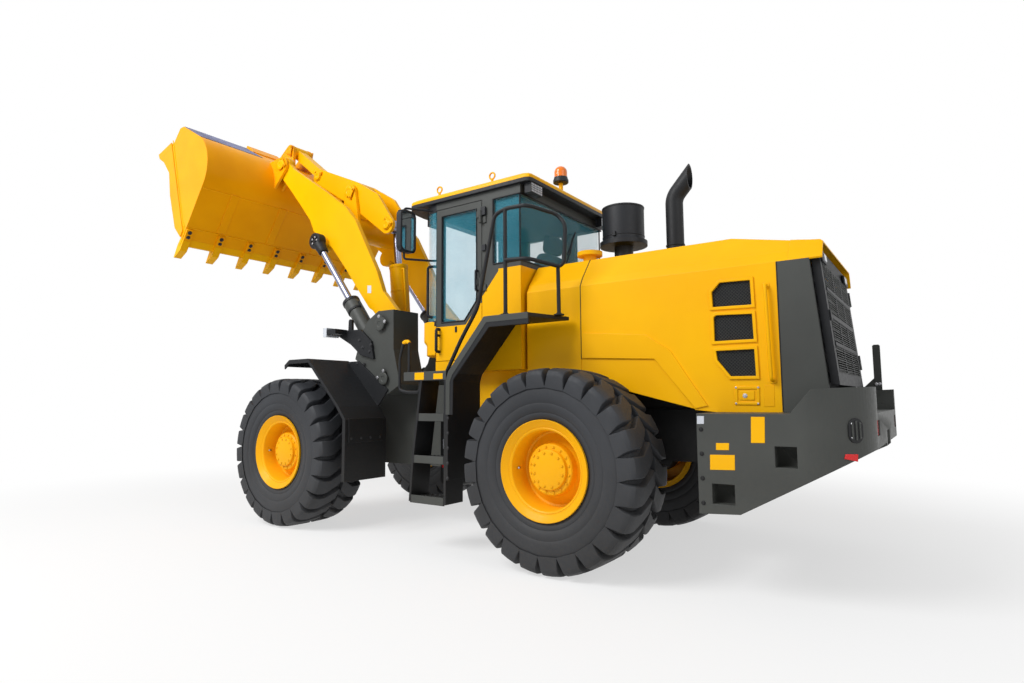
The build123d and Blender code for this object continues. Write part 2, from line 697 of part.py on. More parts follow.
with BuildPart() as hood_rear:
    shell(hood_end, hood_tail)
    tail_cut()
    block(hood_end, hood_tail, -hood_half, hood_half, 1100, deck_z, Mode.SUBTRACT)
    block(hood_end, hood_tail, -hood_half, hood_half, tail_split, hood_top + 10, Mode.SUBTRACT)
    for s in grille_lugs:
        slab([grille_point(s, 0), grille_point(s, 100), grille_point(s + 60, 100), grille_point(s + 60, 0)],
             -hood_half, grille_y - 8)
        stem(grille_low, grille_top, grille_y, 12, s, s + 60)
        stem(grille_low, grille_top, grille_y, 6.5, s, s + 60, Mode.SUBTRACT)
hood_rear.part.label = "hood_rear"
export_step(hood_rear.part, "parts/hood_rear.step")

with BuildPart() as radiator:
    block(rear_x - 1750, rear_x - 1590, -600, 600, deck_z, 2250)
radiator.part.label = "radiator"
export_step(radiator.part, "parts/radiator.step")

with BuildPart() as grille_door:
    slab([(tail_top[0] - run_gap, tail_top[1] - 20), (tail_low[0] - run_gap, tail_low[1] + 4),
          grille_low, grille_top], -grille_half, grille_half)
    slab([grille_point(90, -30), grille_point(90, 90), grille_point(grille_rise - 90, 90),
          grille_point(grille_rise - 90, -30)], 80 - grille_half, grille_half - 80, Mode.SUBTRACT)
    for i in range(slat_count):
        s = 90 + (i + 0.5) * (grille_rise - 180) / slat_count
        slab([grille_point(s - 25, 4), grille_point(s - 10, 4), grille_point(s + 25, 46),
              grille_point(s + 10, 46)], 80 - grille_half, grille_half - 80)
    block(*sorted((grille_point(500, 8)[0], grille_point(500, 48)[0])), -12, 12,
          grille_point(90, 0)[1], grille_point(grille_rise - 90, 0)[1])
    for s in grille_lugs:
        slab([grille_point(s + 62, 0), grille_point(s + 62, 12), grille_point(s + 122, 12),
              grille_point(s + 122, 0)], grille_y, -grille_half)
        stem(grille_low, grille_top, grille_y, 12, s + 62, s + 122)
        stem(grille_low, grille_top, grille_y, 6, s, s + 62)
grille_door.part.label = "grille_door"
export_step(grille_door.part, "parts/grille_door.step")

# Air intake drum on its neck, and the exhaust stack bent to the rear with an upright mouth
drum_x = rear_x - 70
with BuildPart() as air_intake:
    post(drum_x, 0, 88, hood_top, hood_top + 220)
    post(drum_x, 0, 222, hood_top + 220, hood_top + 262)
    post(drum_x, 0, 196, hood_top + 262, hood_top + 590)
    post(drum_x, 0, 60, hood_top + 590, hood_top + 612)
air_intake.part.label = "air_intake"
export_step(air_intake.part, "parts/air_intake.step")

stack_x = rear_x - 575
stack_top = hood_top + 780
stack_mouth = stack_x - 150
stack_path = [(stack_x, 0, hood_top + 600), (stack_x - 260, 0, stack_top + 110)]
with BuildPart() as exhaust_stack:
    post(stack_x, 0, 120, hood_top, hood_top + 60)
    tube([(stack_x, 0, hood_top + 40)] + stack_path, 78, 160)
    tube([(stack_x, 0, hood_top + 300)] + stack_path, 68, 160, Mode.SUBTRACT)
    block(stack_x - 500, stack_mouth, -200, 200, hood_top + 300, stack_top + 300, Mode.SUBTRACT)
exhaust_stack.part.label = "exhaust_stack"
export_step(exhaust_stack.part, "parts/exhaust_stack.step")

# Cab: tub, pillar ring with windows, panes, roof
cab_plan = [(130, -560), (130, 560), (-60, cab_half),
            (-1080, cab_half), (-1080, -cab_half), (-60, -cab_half)]
door_front = -66.0
door_rear = -634.0
door_low = cab_floor_z + 110
door_high = cab_roof_z - 76
hinge_x = door_rear - run_gap / 2
hinge_y = cab_half + 24
hinge_zs = (cab_sill_z + 260, cab_roof_z - 300)


def ring(z0, z1, out, inn):
    for inset, mode in ((out, Mode.ADD), (inn, Mode.SUBTRACT)):
        with BuildSketch(level(z0)) as profile:
            with BuildLine():
                Polyline(*cab_plan, close=True)
            make_face()
            if inset:
                offset(amount=-inset, kind=Kind.INTERSECTION)
        extrude(profile.sketch, amount=z1 - z0, mode=mode)


glass_low = cab_sill_z + 90
glass_high = cab_roof_z - 90


def window_cuts(mode):
    block(60, 200, -500, 500, glass_low, glass_high, mode)
    for hand in (1, -1):
        deck([(105, hand * 545), (180, hand * 640), (80, hand * 780), (-5, hand * 680), (20, hand * 640)],
             glass_low, glass_high, mode)
        ys = sorted((hand * (cab_half - 100), hand * (cab_half + 50)))
        block(-1150, -770, ys[0], ys[1], cab_sill_z + 500, glass_high, mode)
    block(-600, -130, -cab_half - 50, 100 - cab_half, glass_low, glass_high, mode)
    block(-1150, -1000, 90 - cab_half, cab_half - 90, cab_sill_z + 500, glass_high, mode)


quarter_z = cab_sill_z + 450
quarter = [(-830, quarter_z - 20), (door_rear - run_gap, cab_sill_z + 210),
           (door_rear - run_gap, cab_sill_z)]
with BuildPart() as cab_tub:
    ring(cab_floor_z, quarter_z, 0, cab_wall)
    slab([(-1200, quarter_z), (-830, quarter_z)] + quarter + [(200, cab_sill_z), (200, quarter_z + 50),
         (-1200, quarter_z + 50)], -cab_half, cab_half, Mode.SUBTRACT)
    deck(cab_plan, cab_floor_z, cab_floor_z + 64)
    block(-1080, bulk_x - 90, -600, 600, rail_top, cab_floor_z)
    block(door_rear - run_gap, door_front + run_gap, cab_half - 100, cab_half + 10, door_low - run_gap,
          cab_sill_z, Mode.SUBTRACT)
cab_tub.part.label = "cab_tub"
export_step(cab_tub.part, "parts/cab_tub.step")

with BuildPart() as cab_frame:
    ring(cab_sill_z, cab_roof_z, 0, cab_wall)
    slab([(-1200, quarter_z), (-830, quarter_z)] + quarter + [(-1200, cab_sill_z)], -cab_half, cab_half,
         Mode.SUBTRACT)
    window_cuts(Mode.SUBTRACT)
    block(door_rear - run_gap, door_front + run_gap, cab_half - 100, cab_half + 10, cab_sill_z,
          door_high + run_gap, Mode.SUBTRACT)
    for z in hinge_zs:
        block(hinge_x - 55, hinge_x, cab_half, cab_half + 12, z, z + 60)
        post(hinge_x, hinge_y, 16, z, z + 60)
        post(hinge_x, hinge_y, 8.5, z, z + 60, Mode.SUBTRACT)
cab_frame.part.label = "cab_frame"
export_step(cab_frame.part, "parts/cab_frame.step")

with BuildPart() as cab_glass:
    window_cuts(Mode.ADD)
    with BuildSketch(level(cab_sill_z)) as pane:
        with BuildLine():
            Polyline(*cab_plan, close=True)
        make_face()
        offset(amount=-18, kind=Kind.INTERSECTION)
    extrude(pane.sketch, amount=1200, mode=Mode.INTERSECT)
    with BuildSketch(level(cab_sill_z)) as room:
        with BuildLine():
            Polyline(*cab_plan, close=True)
        make_face()
        offset(amount=-28, kind=Kind.INTERSECTION)
    extrude(room.sketch, amount=1200, mode=Mode.SUBTRACT)
cab_glass.part.label = "cab_glass"
export_step(cab_glass.part, "parts/cab_glass.step")

roof_top = cab_roof_z + 180
roof_edge = 62.0
beacon_x = -1040.0
with BuildPart() as cab_roof:
    deck([(400, -560), (400, 560), (60, 830), (-1200, 830), (-1200, -830), (60, -830)],
         cab_roof_z, cab_roof_z + roof_edge)
    with BuildSketch(level(cab_roof_z + roof_edge)) as crown:
        with BuildLine():
            Polyline((380, -540), (380, 540), (50, 810), (-1180, 810), (-1180, -810), (50, -810), close=True)
        make_face()
    extrude(crown.sketch, amount=roof_top - cab_roof_z - roof_edge, taper=58)
    for x in (78, -612):
        for y in (600, -600):
            bar([(x, roof_top - 40, 42), (x, roof_top + 55, 36)], y - 9, y + 9)
            disc((x, roof_top + 55), 20, y - 9, y + 9, Mode.SUBTRACT)
    post(beacon_x, 0, 22, cab_roof_z + roof_edge, roof_top + 60)
    post(beacon_x, 0, 76, roof_top + 60, roof_top + 90)
cab_roof.part.label = "cab_roof"
export_step(cab_roof.part, "parts/cab_roof.step")

door_seam = [(door_front, cab_sill_z - 40), (-440, cab_sill_z - 40), (-600, cab_sill_z + 150),
             (door_rear, cab_sill_z + 150)]
door_pane = [(door_front - 70, cab_sill_z), (-425, cab_sill_z), (door_rear + 60, cab_sill_z + 180),
             (door_rear + 60, door_high - 70), (door_front - 70, door_high - 70)]
with BuildPart() as door_panel:
    slab([(door_rear, door_low), (door_front, door_low)] + door_seam, cab_half - cab_wall, cab_half)
    tube([(-110, cab_half, door_low + 90), (-110, cab_half + 50, door_low + 90),
          (-110, cab_half + 50, door_low + 250), (-110, cab_half, door_low + 250)], 11, 20)
door_panel.part.label = "door_panel"
export_step(door_panel.part, "parts/door_panel.step")

with BuildPart() as cab_door:
    slab(door_seam + [(door_rear, door_high), (door_front, door_high)], cab_half - cab_wall, cab_half)
    slab(door_pane, cab_half - 100, cab_half + 10, Mode.SUBTRACT)
    for z in hinge_zs:
        block(hinge_x, hinge_x + 55, cab_half, cab_half + 12, z + 62, z + 122)
        post(hinge_x, hinge_y, 16, z + 62, z + 122)
        post(hinge_x, hinge_y, 8, z, z + 62)
cab_door.part.label = "cab_door"
export_step(cab_door.part, "parts/cab_door.step")

with BuildPart() as door_glass:
    slab(door_pane, cab_half - 28, cab_half - 18)
door_glass.part.label = "door_glass"
export_step(door_glass.part, "parts/door_glass.step")

# Inside the cab: seat and steering column on the floor
room_z = cab_floor_z + 64
with BuildPart() as seat:
    block(-820, -420, -180, 180, room_z, room_z + 260)
    block(-860, -360, -260, 260, room_z + 260, room_z + 400)
    slab([(-860, room_z + 400), (-720, room_z + 400), (-820, room_z + 1050), (-940, room_z + 1050)],
         -240, 240)
seat.part.label = "seat"
export_step(seat.part, "parts/seat.step")

hand_wheel_r = 190.0
wheel_top = Plane(origin=(pivot_x - 160, 0, room_z + 680), x_dir=(0, 1, 0), z_dir=(-0.45, 0, 0.89))
with BuildPart() as steering_column:
    slab([(-60, room_z), (60, room_z), (-120, room_z + 700), (-200, room_z + 660)], -80, 80)
    with BuildSketch(wheel_top) as hub:
        Circle(55)
        Rectangle(2 * hand_wheel_r, 34)
    extrude(hub.sketch, amount=18)
    with BuildSketch(wheel_top) as hoop:
        Circle(hand_wheel_r + 14)
        Circle(hand_wheel_r - 14, mode=Mode.SUBTRACT)
    extrude(hoop.sketch, amount=28)
steering_column.part.label = "steering_column"
export_step(steering_column.part, "parts/steering_column.step")

# Walkways over the rear wheels, with the guard that drops in front of each wheel
walk_out = 1250.0
walk_z = 2000.0
guard_x = -590.0
walk_back = rear_x + 200
with BuildPart() as walkways:
    slab([(rear_x + 80, walk_z), (rear_x + 640, walk_z), (guard_x - 27, 1550), (guard_x, 1473),
          (guard_x, 620), (guard_x - 22, 620), (guard_x - 22, 1465), (guard_x - 47, 1535),
          (rear_x + 630, walk_z - 30), (rear_x + 80, walk_z - 30)], cab_half, walk_out)
    slab([(rear_x + 80, walk_z - 30), (rear_x + 630, walk_z - 30), (guard_x - 47, 1535),
          (guard_x - 22, 1465), (guard_x - 22, 1180), (guard_x - 75, 1180), (guard_x - 80, 1480),
          (rear_x + 590, walk_z - 90), (rear_x + 80, walk_z - 90)], walk_out - 12, walk_out)
    deck([(walk_back, walk_out + 10), (rear_x + 80, cab_half), (rear_x, cab_half), (rear_x, walk_out + 10)],
         walk_z - 100, walk_z + 10, Mode.SUBTRACT)
    mirror(about=Plane.XZ)
walkways.part.label = "walkways"
export_step(walkways.part, "parts/walkways.step")

# Ladder on the left: leaning front stringer, upright rear stringer, steps and the top bar
step_in = walk_out - 230
step_z = 1500.0
steps = ((420, -160), (770, -195), (1140, -248))
with BuildPart() as ladder:
    slab([(-152, 410), (-185, 800), (-240, 1190), (-282, step_z - 20), (-306, step_z - 20), (-264, 1190),
          (-209, 800), (-176, 410)], step_in, walk_out)
    block(guard_x, guard_x + 24, step_in, walk_out, 410, step_z - 20)
    for z, x in steps:
        block(guard_x + 24, x - 10, step_in, walk_out, z, z + 30)
        block(guard_x + 24, x - 10, walk_out - 14, walk_out, z - 20, z + 50)
    block(guard_x, -75, step_in, walk_out, step_z - 20, step_z)
    block(guard_x, -75, walk_out - 14, walk_out, step_z - 20, step_z + 60)
ladder.part.label = "ladder"
export_step(ladder.part, "parts/ladder.step")

# Hand rails: the bent rail over the walkway, its posts, the ladder loop and the cab grab bars
rail_y = walk_out - 45
rail_r = 17.0


# A point that stands off the chamfered front pillar of the cab
def pillar_point(hand, off, z):
    run_x, run_y = cab_plan[1][0] - cab_plan[2][0], cab_plan[2][1] - cab_plan[1][1]
    k = hypot(run_x, run_y)
    x = cab_plan[2][0] + 0.16 * run_x + off * run_y / k
    return (x, hand * (cab_plan[2][1] - 0.16 * run_y + off * run_x / k), z)


with BuildPart() as handrails:
    for hand in (1, -1):
        if hand > 0:
            foot = [(-545, rail_y, step_z), (-545, rail_y, step_z + 30), (-720, rail_y, step_z + 325),
                    (-906, rail_y, walk_z + 90)]
        else:
            foot = [(-1030, -rail_y, walk_z), (-1030, -rail_y, walk_z + 90)]
        tube(foot + [(-1090, hand * rail_y, 2870), (-1200, hand * rail_y, 2905),
                     (-1419, hand * rail_y, 2895), (-1490, hand * 930, 2838),
                     (-1490, hand * 930, walk_z)], rail_r, 45)
        post(-1200, hand * rail_y, rail_r, walk_z, 2892)
        tube([(-1200, hand * rail_y, 2450), (-1420, hand * rail_y, 2450), (-1490, hand * 930, 2425)], 14, 30)
    tube([(-100, rail_y, step_z), (-100, rail_y, 1850), (-30, rail_y, 1850), (20, rail_y, 1690),
          (20, rail_y, 1400), (-90, rail_y, 1380), (-240, rail_y, 1380),
          (-240, rail_y, step_z - 20)], 15, 28)
    for hand in (1, -1):
        tube([pillar_point(hand, 0, 2640), pillar_point(hand, 85, 2640), pillar_point(hand, 85, 2130),
              pillar_point(hand, 0, 2130)], 14, 30)
handrails.part.label = "handrails"
export_step(handrails.part, "parts/handrails.step")

# Mirrors on bent arms from the cab's front pillars
with BuildPart() as mirror_arms:
    for hand in (1, -1):
        tube([pillar_point(hand, 0, 3215), pillar_point(hand, 60, 3215), (170, hand * 1020, 3215),
              (170, hand * 1020, 2700), pillar_point(hand, 60, 2700), pillar_point(hand, 0, 2700)], 11, 24)
        ys = sorted((hand * 925, hand * 1115))
        block(120, 162, ys[0], ys[1], 2770, 3170)
mirror_arms.part.label = "mirror_arms"
export_step(mirror_arms.part, "parts/mirror_arms.step")

with BuildPart() as mirror_glass:
    for hand in (1, -1):
        ys = sorted((hand * 940, hand * 1100))
        block(114, 120, ys[0], ys[1], 2785, 3155)
mirror_glass.part.label = "mirror_glass"
export_step(mirror_glass.part, "parts/mirror_glass.step")

# Work lamps under both ends of the roof, and the beacon's lens
with BuildPart() as work_lamps:
    for hand in (1, -1):
        ys = sorted((hand * 600, hand * 780))
        block(-1190, -1130, ys[0], ys[1], cab_roof_z - 95, cab_roof_z)
        ys = sorted((hand * 330, hand * 500))
        block(250, 330, ys[0], ys[1], cab_roof_z - 95, cab_roof_z)
work_lamps.part.label = "work_lamps"
export_step(work_lamps.part, "parts/work_lamps.step")

with BuildPart() as beacon_lens:
    post(beacon_x, 0, 66, roof_top + 90, roof_top + 170)
    with Locations((pivot_x + beacon_x, 0, roof_top + 170)):
        Sphere(66)
beacon_lens.part.label = "beacon_lens"
export_step(beacon_lens.part, "parts/beacon_lens.step")
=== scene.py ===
import json
import math

import bmesh
import bpy
from mathutils import Matrix, Vector


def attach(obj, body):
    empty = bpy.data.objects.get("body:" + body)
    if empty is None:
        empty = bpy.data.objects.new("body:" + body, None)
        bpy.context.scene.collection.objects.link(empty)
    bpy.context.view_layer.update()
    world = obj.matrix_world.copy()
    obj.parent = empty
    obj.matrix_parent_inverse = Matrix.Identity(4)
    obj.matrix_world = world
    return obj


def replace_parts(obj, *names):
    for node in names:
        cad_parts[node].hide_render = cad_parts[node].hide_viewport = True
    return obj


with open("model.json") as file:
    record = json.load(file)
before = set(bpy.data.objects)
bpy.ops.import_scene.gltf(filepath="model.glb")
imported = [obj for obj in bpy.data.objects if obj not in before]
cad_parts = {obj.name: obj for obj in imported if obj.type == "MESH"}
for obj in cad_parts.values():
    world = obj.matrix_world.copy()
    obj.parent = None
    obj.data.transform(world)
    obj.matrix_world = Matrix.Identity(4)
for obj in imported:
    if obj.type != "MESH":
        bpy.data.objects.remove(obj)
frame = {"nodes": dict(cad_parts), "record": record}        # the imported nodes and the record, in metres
nodes = frame["nodes"]
record = frame["record"]
slotOf = {s["node"]: s["material_slot"] for s in record["subparts"]}
jointAt = {j["name"]: j.get("pos_m") for j in record["behaviour"]["joints"]}
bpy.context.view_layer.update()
pivotX = jointAt["steering"][0]
print("frame loaded:", len(nodes), "nodes")


def at(x, y, z):         # millimetres forward of the steering pivot, to the left and up
    return Vector((pivotX + x / 1000, y / 1000, z / 1000))


# camera and studio
photoCamera = {
    "place": (-4.3948, 5.3065, 1.3044),
    "yaw": -0.9568,          # heading of the view, from +X towards +Y
    "pitch": 0.0943,
    "roll": -0.0067,
    "focalPixels": 616.16,
    "imageWidth": 1024,
    "sensor": 36.0,
}
studio = {
    "skyLight": 0.36,
    "keyPlace": (2.5, 9.0, 9.5), "keySize": 7.0, "keyPower": 1280,
    "fillPlace": (-9.5, 3.0, 5.0), "fillSize": 6.0, "fillPower": 140,
    "aim": (0.0, 0.0, 1.6),
    "floorRadius": 26.0, "floorColour": (0.86, 0.86, 0.86, 1),
    "fadeFrom": 3.2, "fadeTo": 8.5, "floorGlow": 0.6,
}


def addCamera(c):
    data = bpy.data.cameras.new("photoCamera")
    cam = bpy.data.objects.new("photoCamera", data)
    bpy.context.scene.collection.objects.link(cam)
    data.sensor_width = c["sensor"]
    data.lens = c["sensor"] * c["focalPixels"] / c["imageWidth"]
    data.clip_end = 400
    ahead = Vector((math.cos(c["yaw"]) * math.cos(c["pitch"]), math.sin(c["yaw"]) * math.cos(c["pitch"]),
                    math.sin(c["pitch"])))
    right = ahead.cross(Vector((0, 0, 1))).normalized()
    up = right.cross(ahead)
    turn = Matrix.Rotation(-c["roll"], 3, ahead)
    basis = Matrix((turn @ right, turn @ up, -ahead)).transposed()
    cam.matrix_world = Matrix.Translation(c["place"]) @ basis.to_4x4()
    bpy.context.scene.camera = cam


# a socket takes a link where the value is another node's output, and a constant otherwise
def feed(tree, node, sockets):
    for key, value in sockets.items():
        if isinstance(value, bpy.types.NodeSocket):
            tree.links.new(value, node.inputs[key])
        else:
            node.inputs[key].default_value = value


def addNode(tree, kind, sockets=None, **settings):
    made = tree.nodes.new(kind)
    for key, value in settings.items():
        setattr(made, key, value)
    feed(tree, made, sockets or {})
    return made


def mathNode(tree, operation, first, second):
    return addNode(tree, "ShaderNodeMath", {0: first, 1: second}, operation=operation).outputs[0]


# one white for rays that see the backdrop, a softer level for the light itself
def seenByEye(tree):
    path = addNode(tree, "ShaderNodeLightPath").outputs
    seen = mathNode(tree, "MAXIMUM", path["Is Camera Ray"], path["Is Glossy Ray"])
    return mathNode(tree, "MAXIMUM", seen, path["Is Transmission Ray"])


def addSky(s):
    world = bpy.data.worlds.new("studioSky")
    bpy.context.scene.world = world
    world.use_nodes = True
    tree = world.node_tree
    level = addNode(tree, "ShaderNodeMapRange", {
        "Value": seenByEye(tree), "To Min": s["skyLight"], "To Max": 1.0})
    feed(tree, tree.nodes["Background"], {"Color": (1, 1, 1, 1), "Strength": level.outputs["Result"]})


def addLight(name, s):
    data = bpy.data.lights.new(name + "Light", "AREA")
    data.shape = "DISK"
    data.size = s[name + "Size"]
    data.energy = s[name + "Power"]
    lamp = bpy.data.objects.new(name + "Light", data)
    bpy.context.scene.collection.objects.link(lamp)
    lamp.location = s[name + "Place"]
    lamp.rotation_euler = (Vector(s["aim"]) - lamp.location).to_track_quat("-Z", "Y").to_euler()


def addFloor(s):
    bm = bmesh.new()
    bmesh.ops.create_circle(bm, cap_ends=True, segments=96, radius=s["floorRadius"])
    mesh = bpy.data.meshes.new("studioFloor")
    bm.to_mesh(mesh)
    bm.free()
    mat = bpy.data.materials.new("studioFloor")
    mat.use_nodes = True
    tree = mat.node_tree
    tree.nodes.clear()
    plain = addNode(tree, "ShaderNodeBsdfDiffuse", {"Color": s["floorColour"]})
    glow = addNode(tree, "ShaderNodeEmission", {"Color": (1, 1, 1, 1), "Strength": 1.0})
    spot = addNode(tree, "ShaderNodeTexCoord").outputs["Object"]
    away = addNode(tree, "ShaderNodeVectorMath", {0: spot}, operation="LENGTH").outputs["Value"]
    fade = addNode(tree, "ShaderNodeMapRange", {
        "Value": away, "From Min": s["fadeFrom"], "From Max": s["fadeTo"], "To Min": s["floorGlow"],
    }, interpolation_type="SMOOTHSTEP")
    onlySeen = mathNode(tree, "MULTIPLY", fade.outputs["Result"], seenByEye(tree))
    mix = addNode(tree, "ShaderNodeMixShader", {0: onlySeen, 1: plain.outputs[0], 2: glow.outputs[0]})
    addNode(tree, "ShaderNodeOutputMaterial", {"Surface": mix.outputs[0]})
    floor = bpy.data.objects.new("studioFloor", mesh)
    bpy.context.scene.collection.objects.link(floor)
    mesh.materials.append(mat)


addCamera(photoCamera)
addSky(studio)
addLight("key", studio)
addLight("fill", studio)
addFloor(studio)
bpy.context.scene.view_settings.view_transform = "Standard"
print("studio ready")


# finishes: a base colour, a second tone it drifts to, roughness, shine, clear coat and orange peel
def lookOf(base, tone, rough, spec, coat, peel):
    return {"base": base, "tone": tone, "rough": rough, "spec": spec, "coat": coat, "peel": peel}


paintLooks = {
    # the bucket's yellow, darker and more orange as painted shade
    "bucketShadedYellow": lookOf((0.92, 0.40, 0.0), (0.85, 0.35, 0.0), 0.38, 0.14, 0.03, 0.03),
    "yellow": lookOf((0.95, 0.485, 0.0), (0.90, 0.44, 0.0), 0.36, 0.14, 0.03, 0.03),
    "rim": lookOf((0.95, 0.46, 0.0), (0.88, 0.41, 0.0), 0.4, 0.14, 0.03, 0.03),
    "zinc": lookOf((0.19, 0.20, 0.31), (0.12, 0.125, 0.20), 0.45, 0.2, 0.0, 0.1),
    "grey": lookOf((0.060, 0.064, 0.060), (0.048, 0.051, 0.048), 0.48, 0.25, 0.0, 0.05),
    "black": lookOf((0.011, 0.012, 0.014), (0.007, 0.008, 0.010), 0.5, 0.25, 0.0, 0.06),
    "iron": lookOf((0.030, 0.031, 0.035), (0.019, 0.019, 0.021), 0.58, 0.3, 0.0, 0.2),
    "plastic": lookOf((0.014, 0.016, 0.020), (0.010, 0.011, 0.014), 0.5, 0.28, 0.0, 0.1),
    "red": lookOf((0.82, 0.004, 0.006), (0.66, 0.002, 0.004), 0.2, 0.4, 0.2, 0.01),
    "amber": lookOf((0.95, 0.24, 0.0), (0.82, 0.15, 0.0), 0.16, 0.4, 0.3, 0.01),
    "lamp": lookOf((0.66, 0.69, 0.74), (0.48, 0.51, 0.57), 0.18, 0.5, 0.3, 0.02),
    "tyre": lookOf((0.031, 0.034, 0.040), (0.020, 0.022, 0.026), 0.6, 0.3, 0.0, 0.15),
    "fabric": lookOf((0.020, 0.026, 0.040), (0.012, 0.015, 0.024), 0.8, 0.25, 0.0, 0.3),
}
paintDetail = {
    "driftScale": 1.7, "speckScale": 38.0, "peelScale": 240.0, "edgeRound": 0.006,
    "dustLow": 0.1, "dustTop": 1.5, "dustColour": (0.30, 0.26, 0.20), "dustMost": 0.10, "coatRough": 0.12,
}
metalLooks = {               # base, tone, roughness and how fine the scratches are
    "chrome": ((0.27, 0.28, 0.37), (0.21, 0.22, 0.30), 0.2, 160.0),
    "steel": ((0.50, 0.50, 0.52), (0.38, 0.38, 0.40), 0.30, 120.0),
    "mirror": ((0.86, 0.90, 0.92), (0.80, 0.85, 0.88), 0.03, 40.0),
}
paneLook = {
    "tint": (0.05, 0.47, 0.66), "film": (0.14, 0.58, 0.74), "alpha": (0.13, 0.20), "rough": (0.015, 0.05),
}


def startMaterial(name):
    mat = bpy.data.materials.new(name)
    mat.use_nodes = True
    tree = mat.node_tree
    return mat, tree, tree.nodes["Principled BSDF"], addNode(tree, "ShaderNodeTexCoord").outputs["Object"]


def noiseOf(tree, spot, scale, detail=4.0):
    noise = addNode(tree, "ShaderNodeTexNoise", {"Scale": scale, "Detail": detail, "Vector": spot})
    return noise.outputs["Fac"]


def spread(tree, value, low, high, toLow, toHigh):
    ranged = addNode(tree, "ShaderNodeMapRange", {
        "Value": value, "From Min": low, "From Max": high, "To Min": toLow, "To Max": toHigh})
    return ranged.outputs["Result"]


def blendColours(tree, share, first, second):
    first, second = ((*c, 1) if isinstance(c, tuple) else c for c in (first, second))
    mix = addNode(tree, "ShaderNodeMix", {"Factor": share, "A": first, "B": second}, data_type="RGBA")
    return mix.outputs["Result"]


def roundedBump(tree, height, strength, edge):
    bevel = addNode(tree, "ShaderNodeBevel", {"Radius": edge}, samples=4)
    bump = addNode(tree, "ShaderNodeBump", {
        "Strength": strength, "Distance": 0.002, "Height": height, "Normal": bevel.outputs["Normal"]})
    return bump.outputs["Normal"]


# sprayed or moulded surface: slow drift of tone, fine specks, dust towards the ground
def sprayedFinish(name, look, d):
    mat, tree, shader, spot = startMaterial(name)
    drift = spread(tree, noiseOf(tree, spot, d["driftScale"]), 0.35, 0.65, 0.0, 1.0)
    colour = blendColours(tree, drift, look["base"], look["tone"])
    specks = noiseOf(tree, spot, d["speckScale"], 8.0)
    height = addNode(tree, "ShaderNodeSeparateXYZ", {0: spot}).outputs["Z"]
    low = spread(tree, height, d["dustLow"], d["dustTop"], d["dustMost"], 0.0)
    feed(tree, shader, {
        "Base Color": blendColours(tree, mathNode(tree, "MULTIPLY", low, specks), colour, d["dustColour"]),
        "Roughness": spread(tree, specks, 0.3, 0.7, look["rough"] - 0.05, look["rough"] + 0.07),
        "Specular IOR Level": look["spec"], "Coat Weight": look["coat"], "Coat Roughness": d["coatRough"],
        "Normal": roundedBump(tree, noiseOf(tree, spot, d["peelScale"], 2.0), look["peel"], d["edgeRound"]),
    })
    return mat


def metalFinish(name, base, tone, rough, grain):
    mat, tree, shader, spot = startMaterial(name)
    scratches = noiseOf(tree, spot, grain, 2.0)
    feed(tree, shader, {
        "Metallic": 1.0,
        "Base Color": blendColours(tree, noiseOf(tree, spot, 9.0, 6.0), base, tone),
        "Roughness": spread(tree, scratches, 0.3, 0.7, rough * 0.7, rough * 1.5),
        "Normal": roundedBump(tree, scratches, 0.03, 0.003),
    })
    return mat


# tinted pane: mostly clear, with a faint film that varies
def paneFinish(name, look):
    mat, tree, shader, spot = startMaterial(name)
    smear = noiseOf(tree, spot, 2.2, 5.0)
    feed(tree, shader, {
        "Base Color": blendColours(tree, smear, look["tint"], look["film"]),
        "Alpha": spread(tree, smear, 0.3, 0.7, *look["alpha"]),
        "Roughness": spread(tree, smear, 0.3, 0.7, *look["rough"]),
        "IOR": 1.5,
    })
    return mat


finish = {name: sprayedFinish(name + "Finish", look, paintDetail) for name, look in paintLooks.items()}
finish.update({name: metalFinish(name + "Finish", *look) for name, look in metalLooks.items()})
finish["glass"] = paneFinish("glassFinish", paneLook)
for nodeName, obj in nodes.items():      # the bucket takes a darker, more orange yellow as painted shade
    obj.data.materials.clear()
    obj.data.materials.append(finish["bucketShadedYellow" if nodeName == "bucket" else slotOf[nodeName]])
print("finishes on", len(nodes), "nodes")


# mesh helpers: outlines in millimetres from the steering pivot, gathered into one mesh for each piece
def loft(bm, rings, capped=True):
    count = len(rings[0])
    for near, far in zip(rings, rings[1:]):
        for i in range(count):
            j = (i + 1) % count
            bm.faces.new((near[i], near[j], far[j], far[i]))
    if capped:
        bm.faces.new(rings[0][::-1])
        bm.faces.new(rings[-1])


def prism(bm, outline, y0, y1):          # side outline (x, z) between two widths
    loft(bm, [[bm.verts.new(at(x, y, z)) for x, z in outline] for y in (y0, y1)])


def flatPlate(bm, outline, z0, z1):      # plan outline (x, y) between two heights
    loft(bm, [[bm.verts.new(at(x, y, z)) for x, y in outline] for z in (z0, z1)])


def slab(bm, x0, x1, y0, y1, z0, z1):
    prism(bm, [(x0, z0), (x1, z0), (x1, z1), (x0, z1)], y0, y1)


# an outline moved inwards by a distance, square to each of its edges
def inset(outline, distance):
    count = len(outline)
    area = sum(outline[i][0] * outline[(i + 1) % count][1] - outline[(i + 1) % count][0] * outline[i][1]
               for i in range(count))
    hand = 1 if area > 0 else -1
    moved = []
    for i in range(count):
        p, q, r = (Vector(outline[(i + k) % count]) for k in (-1, 0, 1))
        first, second = (q - p).normalized(), (r - q).normalized()
        sideA = Vector((-first.y, first.x)) * hand
        sideB = Vector((-second.y, second.x)) * hand
        bisector = (sideA + sideB).normalized()
        moved.append(tuple(q + bisector * distance / max(bisector.dot(sideA), 0.3)))
    return moved


# a frame plate: the outline, and the same outline moved inwards, between two widths
def framePlate(bm, outline, width, y0, y1):
    inner = inset(outline, width)
    rings = []
    for points, y in ((outline, y0), (outline, y1), (inner, y1), (inner, y0), (outline, y0)):
        rings.append([bm.verts.new(at(x, y, z)) for x, z in points])
    loft(bm, rings, capped=False)


